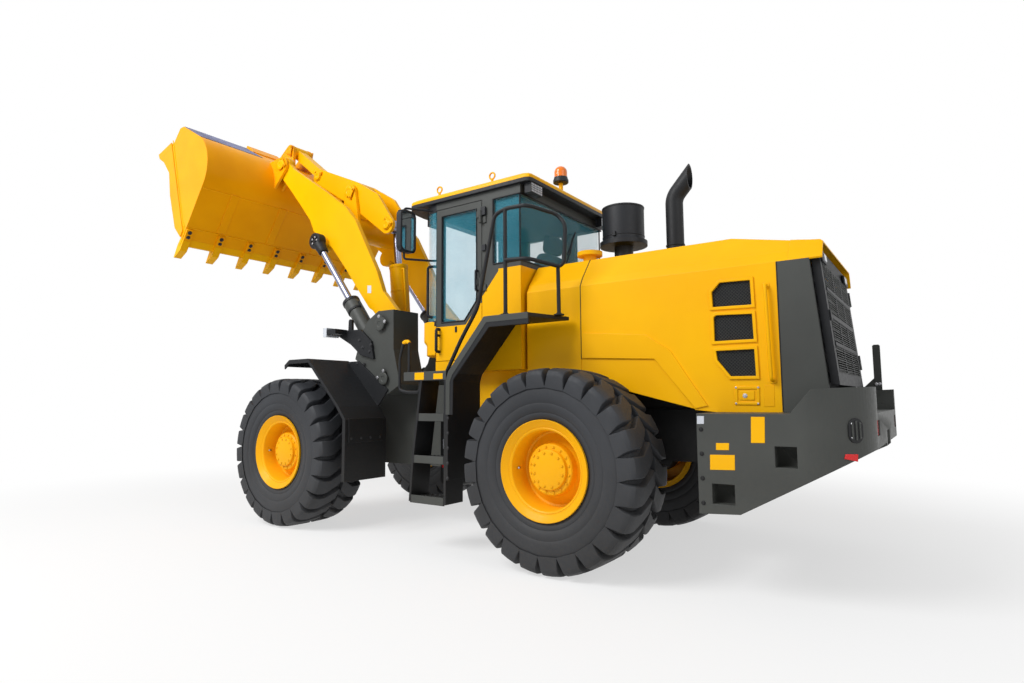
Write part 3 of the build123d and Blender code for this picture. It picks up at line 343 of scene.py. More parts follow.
# the same points with each inner corner replaced by a short curve
def rounded(points, bend):
    points = [Vector(p) for p in points]
    path = [points[0]]
    for before, here, after in zip(points, points[1:], points[2:]):
        back, ahead = before - here, after - here
        reach = min(bend, back.length * 0.45, ahead.length * 0.45)
        start, end = here + back.normalized() * reach, here + ahead.normalized() * reach
        for k in range(5):
            t = k / 4
            path.append(start * (1 - t) ** 2 + here * 2 * t * (1 - t) + end * t * t)
    return path + [points[-1]]


def circle(bm, centre, radius, across, up, steps):
    turns = [2 * math.pi * k / steps for k in range(steps)]
    return [bm.verts.new(at(*(centre + radius * (math.cos(t) * across + math.sin(t) * up)))) for t in turns]


def rod(bm, points, radius, bend=0.0, sides=12):
    path = rounded(points, bend) if bend else [Vector(p) for p in points]
    rings, across = [], None
    for i, spot in enumerate(path):
        ahead = (path[min(i + 1, len(path) - 1)] - path[max(i - 1, 0)]).normalized()
        across = across or ahead.orthogonal()
        across = (across - ahead * across.dot(ahead)).normalized()
        rings.append(circle(bm, spot, radius, across, ahead.cross(across), sides))
    loft(bm, rings)


# a turned form: the profile gives distance along the axis and radius, from end to end
def lathe(bm, centre, axis, profile, steps=40):
    axis = Vector(axis).normalized()
    across = axis.orthogonal().normalized()
    up = axis.cross(across)
    centre = Vector(centre)
    rings = [circle(bm, centre + axis * along, radius, across, up, steps) for along, radius in profile]
    loft(bm, rings, capped=profile[0][1] > 0 and profile[0] != profile[-1])


# the profile of a band round a tube, with eased edges
def bandProfile(bore, radius, wide):
    return [(0, bore), (0, radius - 3), (3, radius), (wide - 3, radius), (wide, radius - 3), (wide, bore),
            (0, bore)]


# a plate on any face: centre, facing, an outline in the face's own level and rising directions, two depths
def facePlate(bm, centre, normal, outline, low, high):
    normal = Vector(normal).normalized()
    level = Vector((-normal.y, normal.x, 0)).normalized()
    rise = normal.cross(level)
    rings = []
    for depth in (low, high):
        rings.append([bm.verts.new(at(*(Vector(centre) + level * a + rise * b + normal * depth)))
                      for a, b in outline])
    loft(bm, rings)


def roundedRectangle(width, height, corner, steps=5):
    points = []
    for k, (sx, sy) in enumerate(((1, 1), (-1, 1), (-1, -1), (1, -1))):
        for i in range(steps + 1):
            a = math.pi / 2 * (k + i / steps)
            points.append((sx * (width / 2 - corner) + corner * math.cos(a),
                           sy * (height / 2 - corner) + corner * math.sin(a)))
    return points


def smoothMesh(mesh, angle):
    mesh.polygons.foreach_set("use_smooth", [True] * len(mesh.polygons))
    mesh.set_sharp_from_angle(angle=math.radians(angle))


def linkPiece(name, mesh, body):
    piece = bpy.data.objects.new(name, mesh)
    bpy.context.scene.collection.objects.link(piece)
    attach(piece, body)
    return piece


# one finished piece: doubles merged, faces outwards, edges eased
def place(name, bm, body, slotName, look=None, ease=0.0, angle=38):
    bmesh.ops.remove_doubles(bm, verts=bm.verts, dist=1e-5)
    bmesh.ops.recalc_face_normals(bm, faces=bm.faces)
    mesh = bpy.data.meshes.new(name)
    bm.to_mesh(mesh)
    bm.free()
    # yellow pieces on the bucket take its darker yellow, a painted shade
    mesh.materials.append(look or finish["bucketShadedYellow" if (body, slotName) == ("bucket", "yellow") else slotName])
    smoothMesh(mesh, angle)
    piece = linkPiece(name, mesh, body)
    if ease:
        edge = piece.modifiers.new("easedEdge", "BEVEL")
        edge.width = ease
        edge.segments = 2
        edge.limit_method = "ANGLE"
    return piece


# node trees for what repeats: a group with named inputs, its result made a plain mesh
def startTree(name, inputs):
    tree = bpy.data.node_groups.new(name, "GeometryNodeTree")
    tree.interface.new_socket(name="Geometry", in_out="INPUT", socket_type="NodeSocketGeometry")
    for label, kind in inputs.items():
        tree.interface.new_socket(name=label, in_out="INPUT", socket_type="NodeSocket" + kind)
    tree.interface.new_socket(name="Geometry", in_out="OUTPUT", socket_type="NodeSocketGeometry")
    return tree, addNode(tree, "NodeGroupInput").outputs


def endTree(tree, given, geometry):
    solid = addNode(tree, "GeometryNodeRealizeInstances", {"Geometry": geometry})
    painted = addNode(tree, "GeometryNodeSetMaterial", {
        "Geometry": solid.outputs["Geometry"], "Material": given["Finish"]})
    addNode(tree, "NodeGroupOutput", {"Geometry": painted.outputs["Geometry"]})
    return tree


def grow(name, seedMesh, tree, values, body, angle=38):
    holder = bpy.data.objects.new(name + "Seed", seedMesh)
    bpy.context.scene.collection.objects.link(holder)
    modifier = holder.modifiers.new("grow", "NODES")
    modifier.node_group = tree
    for item in tree.interface.items_tree:
        if item.in_out == "INPUT" and item.name in values:
            modifier[item.identifier] = values[item.name]
    ready = holder.evaluated_get(bpy.context.evaluated_depsgraph_get())
    mesh = bpy.data.meshes.new_from_object(ready)
    mesh.name = name
    bpy.data.objects.remove(holder)
    smoothMesh(mesh, angle)
    return linkPiece(name, mesh, body)


# bolt heads: a hexagon on a washer at every point, turned to the point's facing and scaled to its size
def makeBoltTree():
    tree, given = startTree("boltHeads", {
        "Head Height": "Float", "Washer Radius": "Float", "Washer Height": "Float", "Finish": "Material"})
    head = addNode(tree, "GeometryNodeMeshCylinder", {"Vertices": 6, "Depth": given["Head Height"]})
    washer = addNode(tree, "GeometryNodeMeshCylinder", {
        "Vertices": 14, "Radius": given["Washer Radius"], "Depth": given["Washer Height"]})
    halfHead = mathNode(tree, "MULTIPLY", given["Head Height"], 0.5)
    offset = addNode(tree, "ShaderNodeCombineXYZ", {"Z": halfHead})
    lifted = addNode(tree, "GeometryNodeTransform", {
        "Geometry": head.outputs["Mesh"], "Translation": offset.outputs[0]})
    both = addNode(tree, "GeometryNodeJoinGeometry", {"Geometry": lifted.outputs["Geometry"]})
    feed(tree, both, {"Geometry": washer.outputs["Mesh"]})
    facing = addNode(tree, "GeometryNodeInputNamedAttribute", {"Name": "facing"}, data_type="FLOAT_VECTOR")
    size = addNode(tree, "GeometryNodeInputNamedAttribute", {"Name": "size"}, data_type="FLOAT")
    turn = addNode(tree, "FunctionNodeAlignRotationToVector", {
        "Vector": facing.outputs["Attribute"]}, axis="Z")
    heads = addNode(tree, "GeometryNodeInstanceOnPoints", {
        "Points": given["Geometry"], "Instance": both.outputs["Geometry"],
        "Rotation": turn.outputs["Rotation"], "Scale": size.outputs["Attribute"]})
    return endTree(tree, given, heads.outputs["Instances"])


# round wire or bead along every edge of a mesh of lines
def makeWireTree():
    tree, given = startTree("wireAlongLines", {"Radius": "Float", "Sides": "Int", "Finish": "Material"})
    curve = addNode(tree, "GeometryNodeMeshToCurve", {"Mesh": given["Geometry"]})
    section = addNode(tree, "GeometryNodeCurvePrimitiveCircle", {
        "Radius": given["Radius"], "Resolution": given["Sides"]})
    tube = addNode(tree, "GeometryNodeCurveToMesh", {
        "Curve": curve.outputs["Curve"], "Profile Curve": section.outputs["Curve"], "Fill Caps": True})
    return endTree(tree, given, tube.outputs["Mesh"])


# copies of the seed mesh round a wheel, then the whole ring set on the wheel's centre
def makeRingTree():
    tree, given = startTree("ringOfCopies", {"Count": "Int", "Centre": "Vector", "Finish": "Material"})
    points = addNode(tree, "GeometryNodePoints", {"Count": given["Count"]})
    index = addNode(tree, "GeometryNodeInputIndex")
    share = mathNode(tree, "DIVIDE", index.outputs[0], given["Count"])
    euler = addNode(tree, "ShaderNodeCombineXYZ", {"Y": mathNode(tree, "MULTIPLY", share, 2 * math.pi)})
    turn = addNode(tree, "FunctionNodeEulerToRotation", {"Euler": euler.outputs[0]})
    copies = addNode(tree, "GeometryNodeInstanceOnPoints", {
        "Points": points.outputs[0], "Instance": given["Geometry"], "Rotation": turn.outputs["Rotation"]})
    solid = addNode(tree, "GeometryNodeRealizeInstances", {"Geometry": copies.outputs["Instances"]})
    shift = addNode(tree, "GeometryNodeTransform", {
        "Geometry": solid.outputs["Geometry"], "Translation": given["Centre"]})
    return endTree(tree, given, shift.outputs["Geometry"])


boltTree, wireTree, ringTree = makeBoltTree(), makeWireTree(), makeRingTree()
boltShape = {"Head Height": 0.8, "Washer Radius": 1.5, "Washer Height": 0.36}
bolts = {}               # body and finish, then the bolts that ride there


def bolt(body, spot, facing, size=13.0, look="steel"):
    bolts.setdefault((body, look), []).append((at(*spot), Vector(facing), size / 1000))


def boltRow(body, start, end, count, facing, size, look):
    for k in range(count):
        spot = Vector(start).lerp(Vector(end), k / max(count - 1, 1))
        bolt(body, spot, facing, size, look)


def growBolts():
    for (body, look), spots in bolts.items():
        mesh = bpy.data.meshes.new("boltPoints")
        mesh.from_pydata([spot for spot, _, _ in spots], [], [])
        facing = mesh.attributes.new("facing", "FLOAT_VECTOR", "POINT")
        facing.data.foreach_set("vector", [c for _, f, _ in spots for c in f])
        size = mesh.attributes.new("size", "FLOAT", "POINT")
        size.data.foreach_set("value", [s for _, _, s in spots])
        grow(f"{body}_{look}_bolts", mesh, boltTree, dict(boltShape, Finish=finish[look]), body, 25)


# lines for one wired piece: each run is a list of points in millimetres
def wire(name, runs, radius, body, slotName, sides=8, look=None):
    mesh = bpy.data.meshes.new(name + "Lines")
    points, edges = [], []
    for run in runs:
        edges += [(len(points) + k, len(points) + k + 1) for k in range(len(run) - 1)]
        points += [at(*p) for p in run]
    mesh.from_pydata(points, edges, [])
    values = {"Radius": radius / 1000, "Sides": sides, "Finish": look or finish[slotName]}
    return grow(name, mesh, wireTree, values, body)


# tyres: a turned carcass with sidewall rings, and two rows of bent lugs round the tread
tyre = {
    "radius": 774.0, "lugCount": 24, "lugLead": 6.297, "rowStep": 7.5,
    "lugWidth": 138.0, "footExtra": 24.0, "slant": 104.0, "edge": 6.0,
    "carcass": [(0, 733), (120, 730), (200, 722), (246, 700), (272, 668), (286, 636), (293, 604),
                (297, 570), (297, 536), (293, 510), (291, 507), (293, 503), (289, 470), (281, 438),
                (276, 434), (279, 429), (270, 402), (262, 388), (258, 376), (240, 352)],
    # a lug from the crown to the sidewall: y, drop, foot radius, and its shares of the slant and the width
    "sections": [(12, 0, 700, 0.0, 0.84), (70, 0, 700, 0.42, 0.96), (150, -1, 700, 0.94, 1.0),
                 (172, -2, 700, 1.0, 1.04), (210, -4, 690, 1.02, 1.06), (252, -11, 665, 1.02, 1.06),
                 (280, -24, 640, 1.0, 1.05), (295, -46, 622, 1.0, 1.03), (299, -64, 620, 1.0, 1.01)],
}
wheels = {"front_left": 1, "front_right": -1, "rear_left": 1, "rear_right": -1}
rim = {
    "face": [(199, 0), (199, 138), (195, 150), (172, 156), (172, 186), (164, 195), (112, 205), (74, 252),
             (66, 272), (72, 287), (226, 297), (242, 303), (249, 314), (246, 321), (252, 327), (259, 334),
             (276, 368), (283, 374), (284, 380), (266, 381), (264, 350), (-264, 350), (-266, 381),
             (-284, 381), (-284, 331), (18, 331), (18, 210), (-100, 200), (-100, 103), (-9, 103), (-9, 0)],
    "steps": 72, "boltRings": ((12, 128.0, 199), (16, 171.0, 172)), "boltSize": 8,
    "valveAt": (292, 150), "valve": [(0, 0), (0, 9), (46, 7), (46, 0)],
}


def lugMesh(t):
    bm = bmesh.new()
    for row in (1, -1):
        lead = math.radians(t["lugLead"] + (0 if row > 0 else t["rowStep"]))
        rings = []
        for y, drop, root, slant, width in t["sections"]:
            top, shift, edge = t["radius"] + drop, (slant - 0.5) * t["slant"], t["edge"]
            half = t["lugWidth"] * width / 2
            foot = half + t["footExtra"] / 2
            section = [(-foot, root), (-half, top - edge), (edge - half, top), (0, top), (half - edge, top),
                       (half, top - edge), (foot, root)]
            ring = []
            for across, radius in section:
                angle = -lead - (across + shift) / radius     # about +Y, from the wheel's top
                spot = Vector((radius * math.sin(angle), row * y, radius * math.cos(angle)))
                ring.append(bm.verts.new(spot / 1000))
            rings.append(ring)
        loft(bm, rings)
    bmesh.ops.recalc_face_normals(bm, faces=bm.faces)
    mesh = bpy.data.meshes.new("tyreLugs")
    bm.to_mesh(mesh)
    bm.free()
    return mesh


def addWheel(name, hand, lugs):
    body = name + "_wheel"
    spot = Vector(jointAt[body])
    hub = (1000 * (spot.x - pivotX), 1000 * spot.y, 1000 * spot.z)
    half = tyre["carcass"]
    whole = half[::-1] + [(-y, r) for y, r in half[1:]]
    bm = bmesh.new()
    lathe(bm, hub, (0, 1, 0), whole + [whole[0]], 96)
    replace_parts(place(name + "_carcass", bm, body, "tyre", angle=50), name + "_tyre")
    ring = {"Count": tyre["lugCount"], "Centre": spot, "Finish": finish["tyre"]}
    grow(name + "_lugs", lugs.copy(), ringTree, ring, body, 30)
    bm = bmesh.new()
    lathe(bm, hub, (0, hand, 0), rim["face"], rim["steps"])
    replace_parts(place(name + "_disc", bm, body, "rim", angle=32), name + "_rim")
    for count, radius, along in rim["boltRings"]:
        for k in range(count):
            a = 2 * math.pi * (k + 0.5) / count
            head = (hub[0] + radius * math.cos(a), hub[1] + hand * along, hub[2] + radius * math.sin(a))
            bolt(body, head, (0, hand, 0), rim["boltSize"], "rim")
    x, y = rim["valveAt"]                # valve in its slot on the rim's barrel
    bm = bmesh.new()
    lathe(bm, (hub[0] + x, hub[1] + hand * y, hub[2]), (-0.5, hand, 0), rim["valve"], 10)
    place(name + "_valve", bm, body, "steel")


tyreLugs = lugMesh(tyre)
for wheelName, wheelHand in wheels.items():
    addWheel(wheelName, wheelHand, tyreLugs)
print("wheels ready")

# linkage pins as (x, z), and their caps: a stepped cap, a keeper bar beside it and its two bolts
pins = {"a": (750, 2115), "b": (2910, 4430), "c": (690, 1535), "d": (2035, 3245), "e": (1200, 2000),
        "f": (1980, 3980), "g": (1337, 3445), "h": (2685, 4352), "j": (3350, 4875)}
pinCap = {"height": 14.0, "keeperLength": 150.0, "keeperWidth": 44.0, "keeperThick": 12.0, "boltSize": 12.0}


def addPinCaps(name, body, slotName, caps, boltLook):
    p = pinCap
    tall, low, thick = p["height"], p["height"] * 0.7, p["keeperThick"]
    bm = bmesh.new()
    for pin, y, radius, turn in caps:
        spot = Vector(pins[pin])
        a = math.radians(turn)
        along, out = Vector((math.cos(a), math.sin(a))), Vector((-math.sin(a), math.cos(a)))
        middle = spot + out * radius * 0.92
        half, wide = along * p["keeperLength"] / 2, out * p["keeperWidth"] / 2
        bar = [middle + half + wide, middle - half + wide, middle - half - wide, middle + half - wide]
        cap = [(0, 0), (0, radius), (low, radius), (tall, radius * 0.9), (tall, radius * 0.45),
               (low, radius * 0.4), (low, 0)]
        for hand in (1, -1):
            lathe(bm, (spot.x, hand * y, spot.y), (0, hand, 0), cap, 32)
            prism(bm, bar, hand * y, hand * (y + thick))
            for share in (-0.36, 0.36):
                head = middle + along * p["keeperLength"] * share
                bolt(body, (head.x, hand * (y + thick), head.y), (0, hand, 0), p["boltSize"], boltLook)
    place(name, bm, body, slotName, ease=0.0025)


addPinCaps("tower_pins", "front_frame", "grey", [("a", 790, 72, 35), ("c", 785, 66, -38)], "steel")
addPinCaps("boom_pins", "boom", "yellow", [("b", 592, 64, 60), ("f", 221, 70, 120)], "yellow")
addPinCaps("crank_pins", "bell_crank", "yellow", [("g", 172, 54, 40), ("h", 172, 54, 20)], "yellow")
addPinCaps("bucket_pins", "bucket", "yellow", [("j", 173, 52, 100)], "yellow")

# lift and tilt cylinders: dark eyes, bands round the barrels as (along, wide, radius), pipes beside them
cylinders = {
    "liftY": 635.0, "eyeIn": 49.0, "pipeRadius": 12.0,
    "eye": [(0, 0), (0, 93), (6, 99), (96, 99), (104, 91), (104, 62), (99, 58), (99, 30), (108, 26),
            (108, 0)],
    "eyeBolts": 5, "eyeBoltRing": 44.0, "eyeBoltOut": 50.0,
    "shankBack": 205.0,
    "shank": [(0, 41), (0, 52), (14, 60), (60, 62), (120, 70), (150, 74), (150, 41), (0, 41)],
    "liftBands": ((1118, 40, 101), (990, 26, 96), (360, 30, 91), (660, 22, 90)), "liftBore": 80.0,
    "headBolts": 8, "headBoltRing": 70.0, "headBoltsAt": 1151.0,
    "liftPipe": ((240, 80), (240, 108), (1060, 108), (1060, 80)),
    "tiltBands": ((920, 40, 116), (300, 26, 114), (620, 26, 114)), "tiltBore": 100.0,
    "tiltPipe": ((250, 100), (250, 128), (890, 128), (890, 100)), "tiltPipeY": 40.0,
}


def alongPins(start, end, t, off=0.0):
    ahead = (Vector(pins[end]) - Vector(pins[start])).normalized()
    return Vector(pins[start]) + ahead * t + Vector((-ahead.y, ahead.x)) * off


def addBands(bm, ends, y, bands, bore):
    for along, wide, radius in bands:
        spot, ahead = alongPins(*ends, along), alongPins(*ends, 1) - Vector(pins[ends[0]])
        lathe(bm, (spot.x, y, spot.y), (ahead.x, 0, ahead.y), bandProfile(bore, radius, wide))


def addPipe(bm, ends, y, run, radius):
    rod(bm, [(p.x, y, p.y) for p in (alongPins(*ends, t, off) for t, off in run)], radius, 40)


def addLiftCylinders(c):
    span = Vector(pins["d"]) - Vector(pins["c"])
    ahead = span.normalized()
    axis = (ahead.x, 0, ahead.y)
    x, z = pins["d"]
    shank = alongPins("c", "d", span.length - c["shankBack"])
    head = alongPins("c", "d", c["headBoltsAt"])
    eyes, glands, pipes = bmesh.new(), bmesh.new(), bmesh.new()
    for hand in (1, -1):
        y = hand * c["liftY"]
        lathe(eyes, (x, y - hand * c["eyeIn"], z), (0, hand, 0), c["eye"])
        for k in range(c["eyeBolts"]):
            a = 2 * math.pi * k / c["eyeBolts"] + 0.5
            spot = (x + c["eyeBoltRing"] * math.cos(a), y + hand * c["eyeBoltOut"],
                    z + c["eyeBoltRing"] * math.sin(a))
            bolt("lift_rods", spot, (0, hand, 0), 9, "steel")
        lathe(eyes, (shank.x, y, shank.y), axis, c["shank"], 32)
        addBands(glands, ("c", "d"), y, c["liftBands"], c["liftBore"])
        for k in range(c["headBolts"]):
            a = 2 * math.pi * k / c["headBolts"]
            up, out = c["headBoltRing"] * math.cos(a), c["headBoltRing"] * math.sin(a)
            bolt("lift_barrels", (head.x - ahead.y * up, y + out, head.y + ahead.x * up), axis, 10, "iron")
        addPipe(pipes, ("c", "d"), y, c["liftPipe"], c["pipeRadius"])
    place("lift_eyes", eyes, "lift_rods", "black", ease=0.002)
    place("lift_glands", glands, "lift_barrels", "black")
    place("lift_pipes", pipes, "lift_barrels", "black")


def addTiltBands(c):
    bm = bmesh.new()
    addBands(bm, ("e", "g"), 0, c["tiltBands"], c["tiltBore"])
    addPipe(bm, ("e", "g"), c["tiltPipeY"], c["tiltPipe"], c["pipeRadius"])
    place("tilt_bands", bm, "tilt_barrel", "yellow")


addLiftCylinders(cylinders)
addTiltBands(cylinders)

# bucket: shanks of the teeth with their bolts, wear strips, weld beads and the ribbed guard behind the lip
bucketParts = {
    "dump": 54.0, "teeth": 8, "half": 1500.0, "endTooth": 50.0, "edge": 1270.0, "floor": -100.0,
    "shankLength": 150.0, "shankHalf": 44.0, "shankThick": 26.0,
    "boltSize": 17.0, "boltsFromBack": (45, 110),
    "stripsAt": (-1060, -360, 360, 1060), "stripHalf": 55.0, "stripFrom": 540.0, "stripTo": 1100.0,
    "floorWelds": (1112, 560), "cheekWeld": ((372, 974), (1086, 50), (1130, -50)), "weldRadius": 6.0,
    "ribStep": 26.0, "ribFrom": 655.0, "ribRadius": 5.0, "ribEnds": ((70, 388), (114, 826)),
    "guard": ((74, 368), (67, 369), (116, 839), (123, 838)),
    "wrap": ((123, 838), (78, 843), (74, 800), (86, 650), (104, 650)), "wrapFrom": 170.0, "wrapTo": 640.0,
}


# u along the bucket's floor and w up from it, turned to the dumped pose
def bucketAt(u, w):
    a = math.radians(bucketParts["dump"])
    x, z = pins["b"]
    return (x + u * math.cos(a) + w * math.sin(a), z - u * math.sin(a) + w * math.cos(a))


def bucketPrism(bm, outline, y0, y1):
    prism(bm, [bucketAt(u, w) for u, w in outline], y0, y1)


def addShanks(b):
    a = math.radians(b["dump"])
    under = (-math.sin(a), 0, -math.cos(a))
    floor, low = b["floor"] + 2, b["floor"] - b["shankThick"]
    back, front = b["edge"] - b["shankLength"], b["edge"] + 14
    bm = bmesh.new()
    for i in range(b["teeth"]):
        y = (i / (b["teeth"] - 1) - 0.5) * 2 * (b["half"] - b["endTooth"])
        shank = [(back, floor), (back + 12, low), (front, low - 8), (front, floor)]
        bucketPrism(bm, shank, y - b["shankHalf"], y + b["shankHalf"])
        for u in b["boltsFromBack"]:
            x, z = bucketAt(back + u, low - 3)
            bolt("bucket", (x, y, z), under, b["boltSize"], "iron")
    worn = b["floor"] - 12
    for y in b["stripsAt"]:
        strip = [(b["stripFrom"], floor), (b["stripFrom"] + 12, worn), (b["stripTo"] - 10, worn),
                 (b["stripTo"], floor)]
        bucketPrism(bm, strip, y - b["stripHalf"], y + b["stripHalf"])
    place("bucket_shanks", bm, "bucket", "yellow", ease=0.003)


def addBucketWelds(b):
    runs = []
    for u in b["floorWelds"]:
        x, z = bucketAt(u, b["floor"] - 3)
        runs.append([(x, hand * (b["half"] - 20), z) for hand in (-1, 1)])
    for hand in (1, -1):
        runs.append([(x, hand * (b["half"] + 3), z) for x, z in (bucketAt(u, w) for u, w in b["cheekWeld"])])
    wire("bucket_welds", runs, b["weldRadius"], "bucket", "yellow")


def addLipGuard(b):
    ribs = []
    for hand in (1, -1):
        for k in range(int((b["half"] - 20 - b["ribFrom"]) / b["ribStep"])):
            y = hand * (b["ribFrom"] + k * b["ribStep"])
            ribs.append([(x, y, z) for x, z in (bucketAt(u, w) for u, w in b["ribEnds"])])
    wire("lip_ribs", ribs, b["ribRadius"], "bucket", "grey", 6, finish["zinc"])
    guard, wrap = bmesh.new(), bmesh.new()
    for hand in (1, -1):
        bucketPrism(guard, b["guard"], hand * (b["ribFrom"] - 20), hand * (b["half"] - 12))
        bucketPrism(wrap, b["wrap"], hand * b["wrapFrom"], hand * b["wrapTo"])
    place("lip_guard", guard, "bucket", "grey", look=finish["zinc"])
    place("lip_wrap", wrap, "bucket", "yellow", ease=0.006)


addShanks(bucketParts)
addBucketWelds(bucketParts)
addLipGuard(bucketParts)
print("linkage and bucket details ready")

# hood: raised arch, vent frames with wire mesh, grab bar, latch, seams and the blank plates
hoodParts = {
    "half": 750.0, "top": 2520.0, "archRaise": 10.0,
    "arch": [(-1663, 1860), (-2227, 1812), (-2429, 1674), (-2560, 1470), (-2706, 1250), (-2612, 1230),
             (-2300, 1614), (-1663, 1648)],
    "vents": [[(-2762, 2090), (-2823, 2155), (-3040, 2150), (-3045, 1970), (-2766, 1976)],
              [(-2770, 1900), (-2790, 1915), (-3045, 1905), (-3050, 1722), (-2770, 1722)],
              [(-2778, 1652), (-3050, 1652), (-3055, 1460), (-2879, 1462), (-2785, 1585)]],
    "frameWidth": 22.0, "frameRaise": 12.0, "meshStep": 17.0, "meshRadius": 1.7, "meshIn": 10.0,
    "barTop": (-3146, 2097), "barLow": (-3163, 1428), "barOut": 46.0, "barRadius": 12.0,
    "barFoot": [(0, 0), (0, 26), (8, 24), (8, 0)],
    "latch": [(-2903, 1390), (-3073, 1388), (-3069, 1256), (-2899, 1258)], "latchBolt": (-2972, 1322),
    "latchFrame": 20.0, "latchRaise": 7.0, "flapIn": 34.0, "flapRaise": 5.0, "latchScrewIn": 9.0,
    "shoulder": ((0, 260), (40, 190), (190, 0)),     # in from the side and down from the top
    "seam": -1655.0, "seamLow": 1640.0, "rearSeam": -3220.0, "rearSeamLow": 1210.0, "seamRadius": 4.0,
}


# where a slanting line crosses an outline, as pairs of points inside it
def crossings(outline, offset, slope):
    hits = []
    for (x0, z0), (x1, z1) in zip(outline, outline[1:] + outline[:1]):
        d0, d1 = z0 - slope * x0 - offset, z1 - slope * x1 - offset
        if d0 * d1 < 0:
            t = d0 / (d0 - d1)
            hits.append((x0 + t * (x1 - x0), z0 + t * (z1 - z0)))
    hits.sort()
    return list(zip(hits[::2], hits[1::2]))


def ventLines(vent, y, step):
    lines = []
    for slope in (1.0, -1.0):
        offsets = [z - slope * x for x, z in vent]
        for k in range(int((max(offsets) - min(offsets)) / (step * math.sqrt(2)))):
            level = min(offsets) + (k + 0.5) * step * math.sqrt(2)
            lines += [[(x, y, z) for x, z in pair] for pair in crossings(vent, level, slope)]
    return lines


def addHoodTrim(h):
    bm = bmesh.new()
    lines = []
    (topX, topZ), (lowX, lowZ) = h["barTop"], h["barLow"]
    for hand in (1, -1):
        y, facing = hand * h["half"], (0, hand, 0)
        prism(bm, h["arch"], y - hand * 2, y + hand * h["archRaise"])
        for vent in h["vents"]:
            outer, wide = inset(vent, -h["frameWidth"]), h["frameWidth"] + 1
            framePlate(bm, outer, wide, y - hand * 4, y + hand * h["frameRaise"])
            lines += ventLines(vent, y - hand * h["meshIn"], h["meshStep"])
        deep, out = y - hand * 5, y + hand * h["barOut"]
        bar = [(topX, deep, topZ), (topX, out, topZ), (lowX, out, lowZ), (lowX, deep, lowZ)]
        rod(bm, bar, h["barRadius"], 30)
        for x, z in (h["barTop"], h["barLow"]):
            lathe(bm, (x, y, z), facing, h["barFoot"], 20)
        raised, flap = y + hand * h["latchRaise"], y + hand * h["flapRaise"]
        framePlate(bm, h["latch"], h["latchFrame"], y, raised)
        prism(bm, inset(h["latch"], h["flapIn"]), y, flap)
        for x, z in inset(h["latch"], h["latchScrewIn"]):
            bolt("rear_frame", (x, raised, z), facing, 5, "steel")
        x, z = h["latchBolt"]
        bolt("rear_frame", (x, flap, z), facing, 11, "steel")
    place("hood_trim", bm, "rear_frame", "yellow", ease=0.004)
    wire("vent_mesh", lines, h["meshRadius"], "rear_frame", "grey", 4)


def addHoodSeams(h):
    top, half, proud = h["top"], h["half"], 1.0005
    bend = [(half - inward, top - down) for inward, down in h["shoulder"]]
    left = [(half, h["seamLow"])] + bend
    section = left + [(-y, z) for y, z in reversed(left)]
    lines = [[(h["seam"], y * proud, z + 0.5) for y, z in section]]
    for hand in (1, -1):
        lines.append([(h["rearSeam"], hand * half * proud, z) for z in (h["rearSeamLow"], bend[0][1])])
    wire("hood_seams", lines, h["seamRadius"], "rear_frame", "black", 6)


addHoodTrim(hoodParts)
addHoodSeams(hoodParts)

# blank plates: slot, body, the side they lie on and their outlines; none carries words
blankPlates = {
    "weight_plates": ("yellow", "rear_frame", 1200, [
        [(-2849, 936), (-3008, 941), (-3006, 844), (-2846, 838)],
        [(-3118, 1186), (-3202, 1187), (-3196, 1023), (-3112, 1021)],
        [(-2891, 1013), (-2975, 1016), (-2973, 970), (-2889, 968)]]),
    "hood_plates": ("rim", "rear_frame", 750, [
        [(-3104, 1396), (-3172, 1394), (-3168, 1244), (-3098, 1244)]]),
    "white_plate": ("lamp", "rear_frame", 1200, [
        [(-2771, 1188), (-2818, 1188), (-2816, 1136), (-2769, 1135)]]),
    "step_plates": ("yellow", "rear_frame", 1250, [
        [(-214, 1488), (-328, 1488), (-328, 1554), (-214, 1554)],
        [(-442, 1490), (-552, 1490), (-552, 1540), (-442, 1540)]]),
    "boom_plate": ("lamp", "boom", 540, [[(1172, 2618), (1236, 2626), (1232, 2536), (1170, 2530)]]),
    "tank_plate": ("lamp", "rear_frame", 990, [[(-330, 860), (-450, 860), (-450, 950), (-330, 950)]]),
    "tank_bar": ("red", "rear_frame", 990, [[(-320, 690), (-500, 690), (-500, 722), (-320, 722)]]),
}


def addPlate(name, slotName, body, y, outlines):
    bm = bmesh.new()
    for outline in outlines:
        prism(bm, outline, y - 2, y + 1.6)
    place(name, bm, body, slotName, ease=0.0008)


for plateName, plate in blankPlates.items():
    addPlate(plateName, *plate)
print("hood details and blank plates ready")

# counterweight corners: slotted lamps and red reflectors that follow the rounded back, and the rear post
weightParts = {
    "cornerX": -3400.0, "cornerY": 820.0, "radius": 380.0, "lampTurn": 139.0, "lampZ": 1106.0,
    "lamp": (104, 150, 50), "slots": 3, "slotStep": 27.0, "slotWide": 11.0, "slotTall": 118.0,
    "screws": ((-30, 42), (30, 42), (-30, -42), (30, -42)), "screwSize": 4.5,
    "reflectorTurn": 133.0, "reflectorZ": 948.0, "reflector": [(-44, -8), (40, -26), (44, 18), (-36, 20)],
    "post": [(-3692, 1360), (-3634, 1360), (-3634, 1752), (-3644, 1762), (-3682, 1762), (-3692, 1752)],
    "brace": [(-3634, 1360), (-3540, 1360), (-3540, 1378), (-3634, 1470)], "postY": -900.0,
    "postHalf": 7.0, "braceHalf": 6.0, "postBolts": (-3676, -3650), "postBoltZ": 1420.0,
    "seamX": -2795.0, "seamY": 1200.0, "seamZ": (620, 1100), "seamBolts": 4,
}


# a spot on the weight's rounded corner, and the way it faces
def cornerSpot(w, hand, turn, z):
    a = math.radians(turn)
    normal = Vector((math.cos(a), hand * math.sin(a), 0))
    return normal, Vector((w["cornerX"], hand * w["cornerY"], z)) + normal * w["radius"]


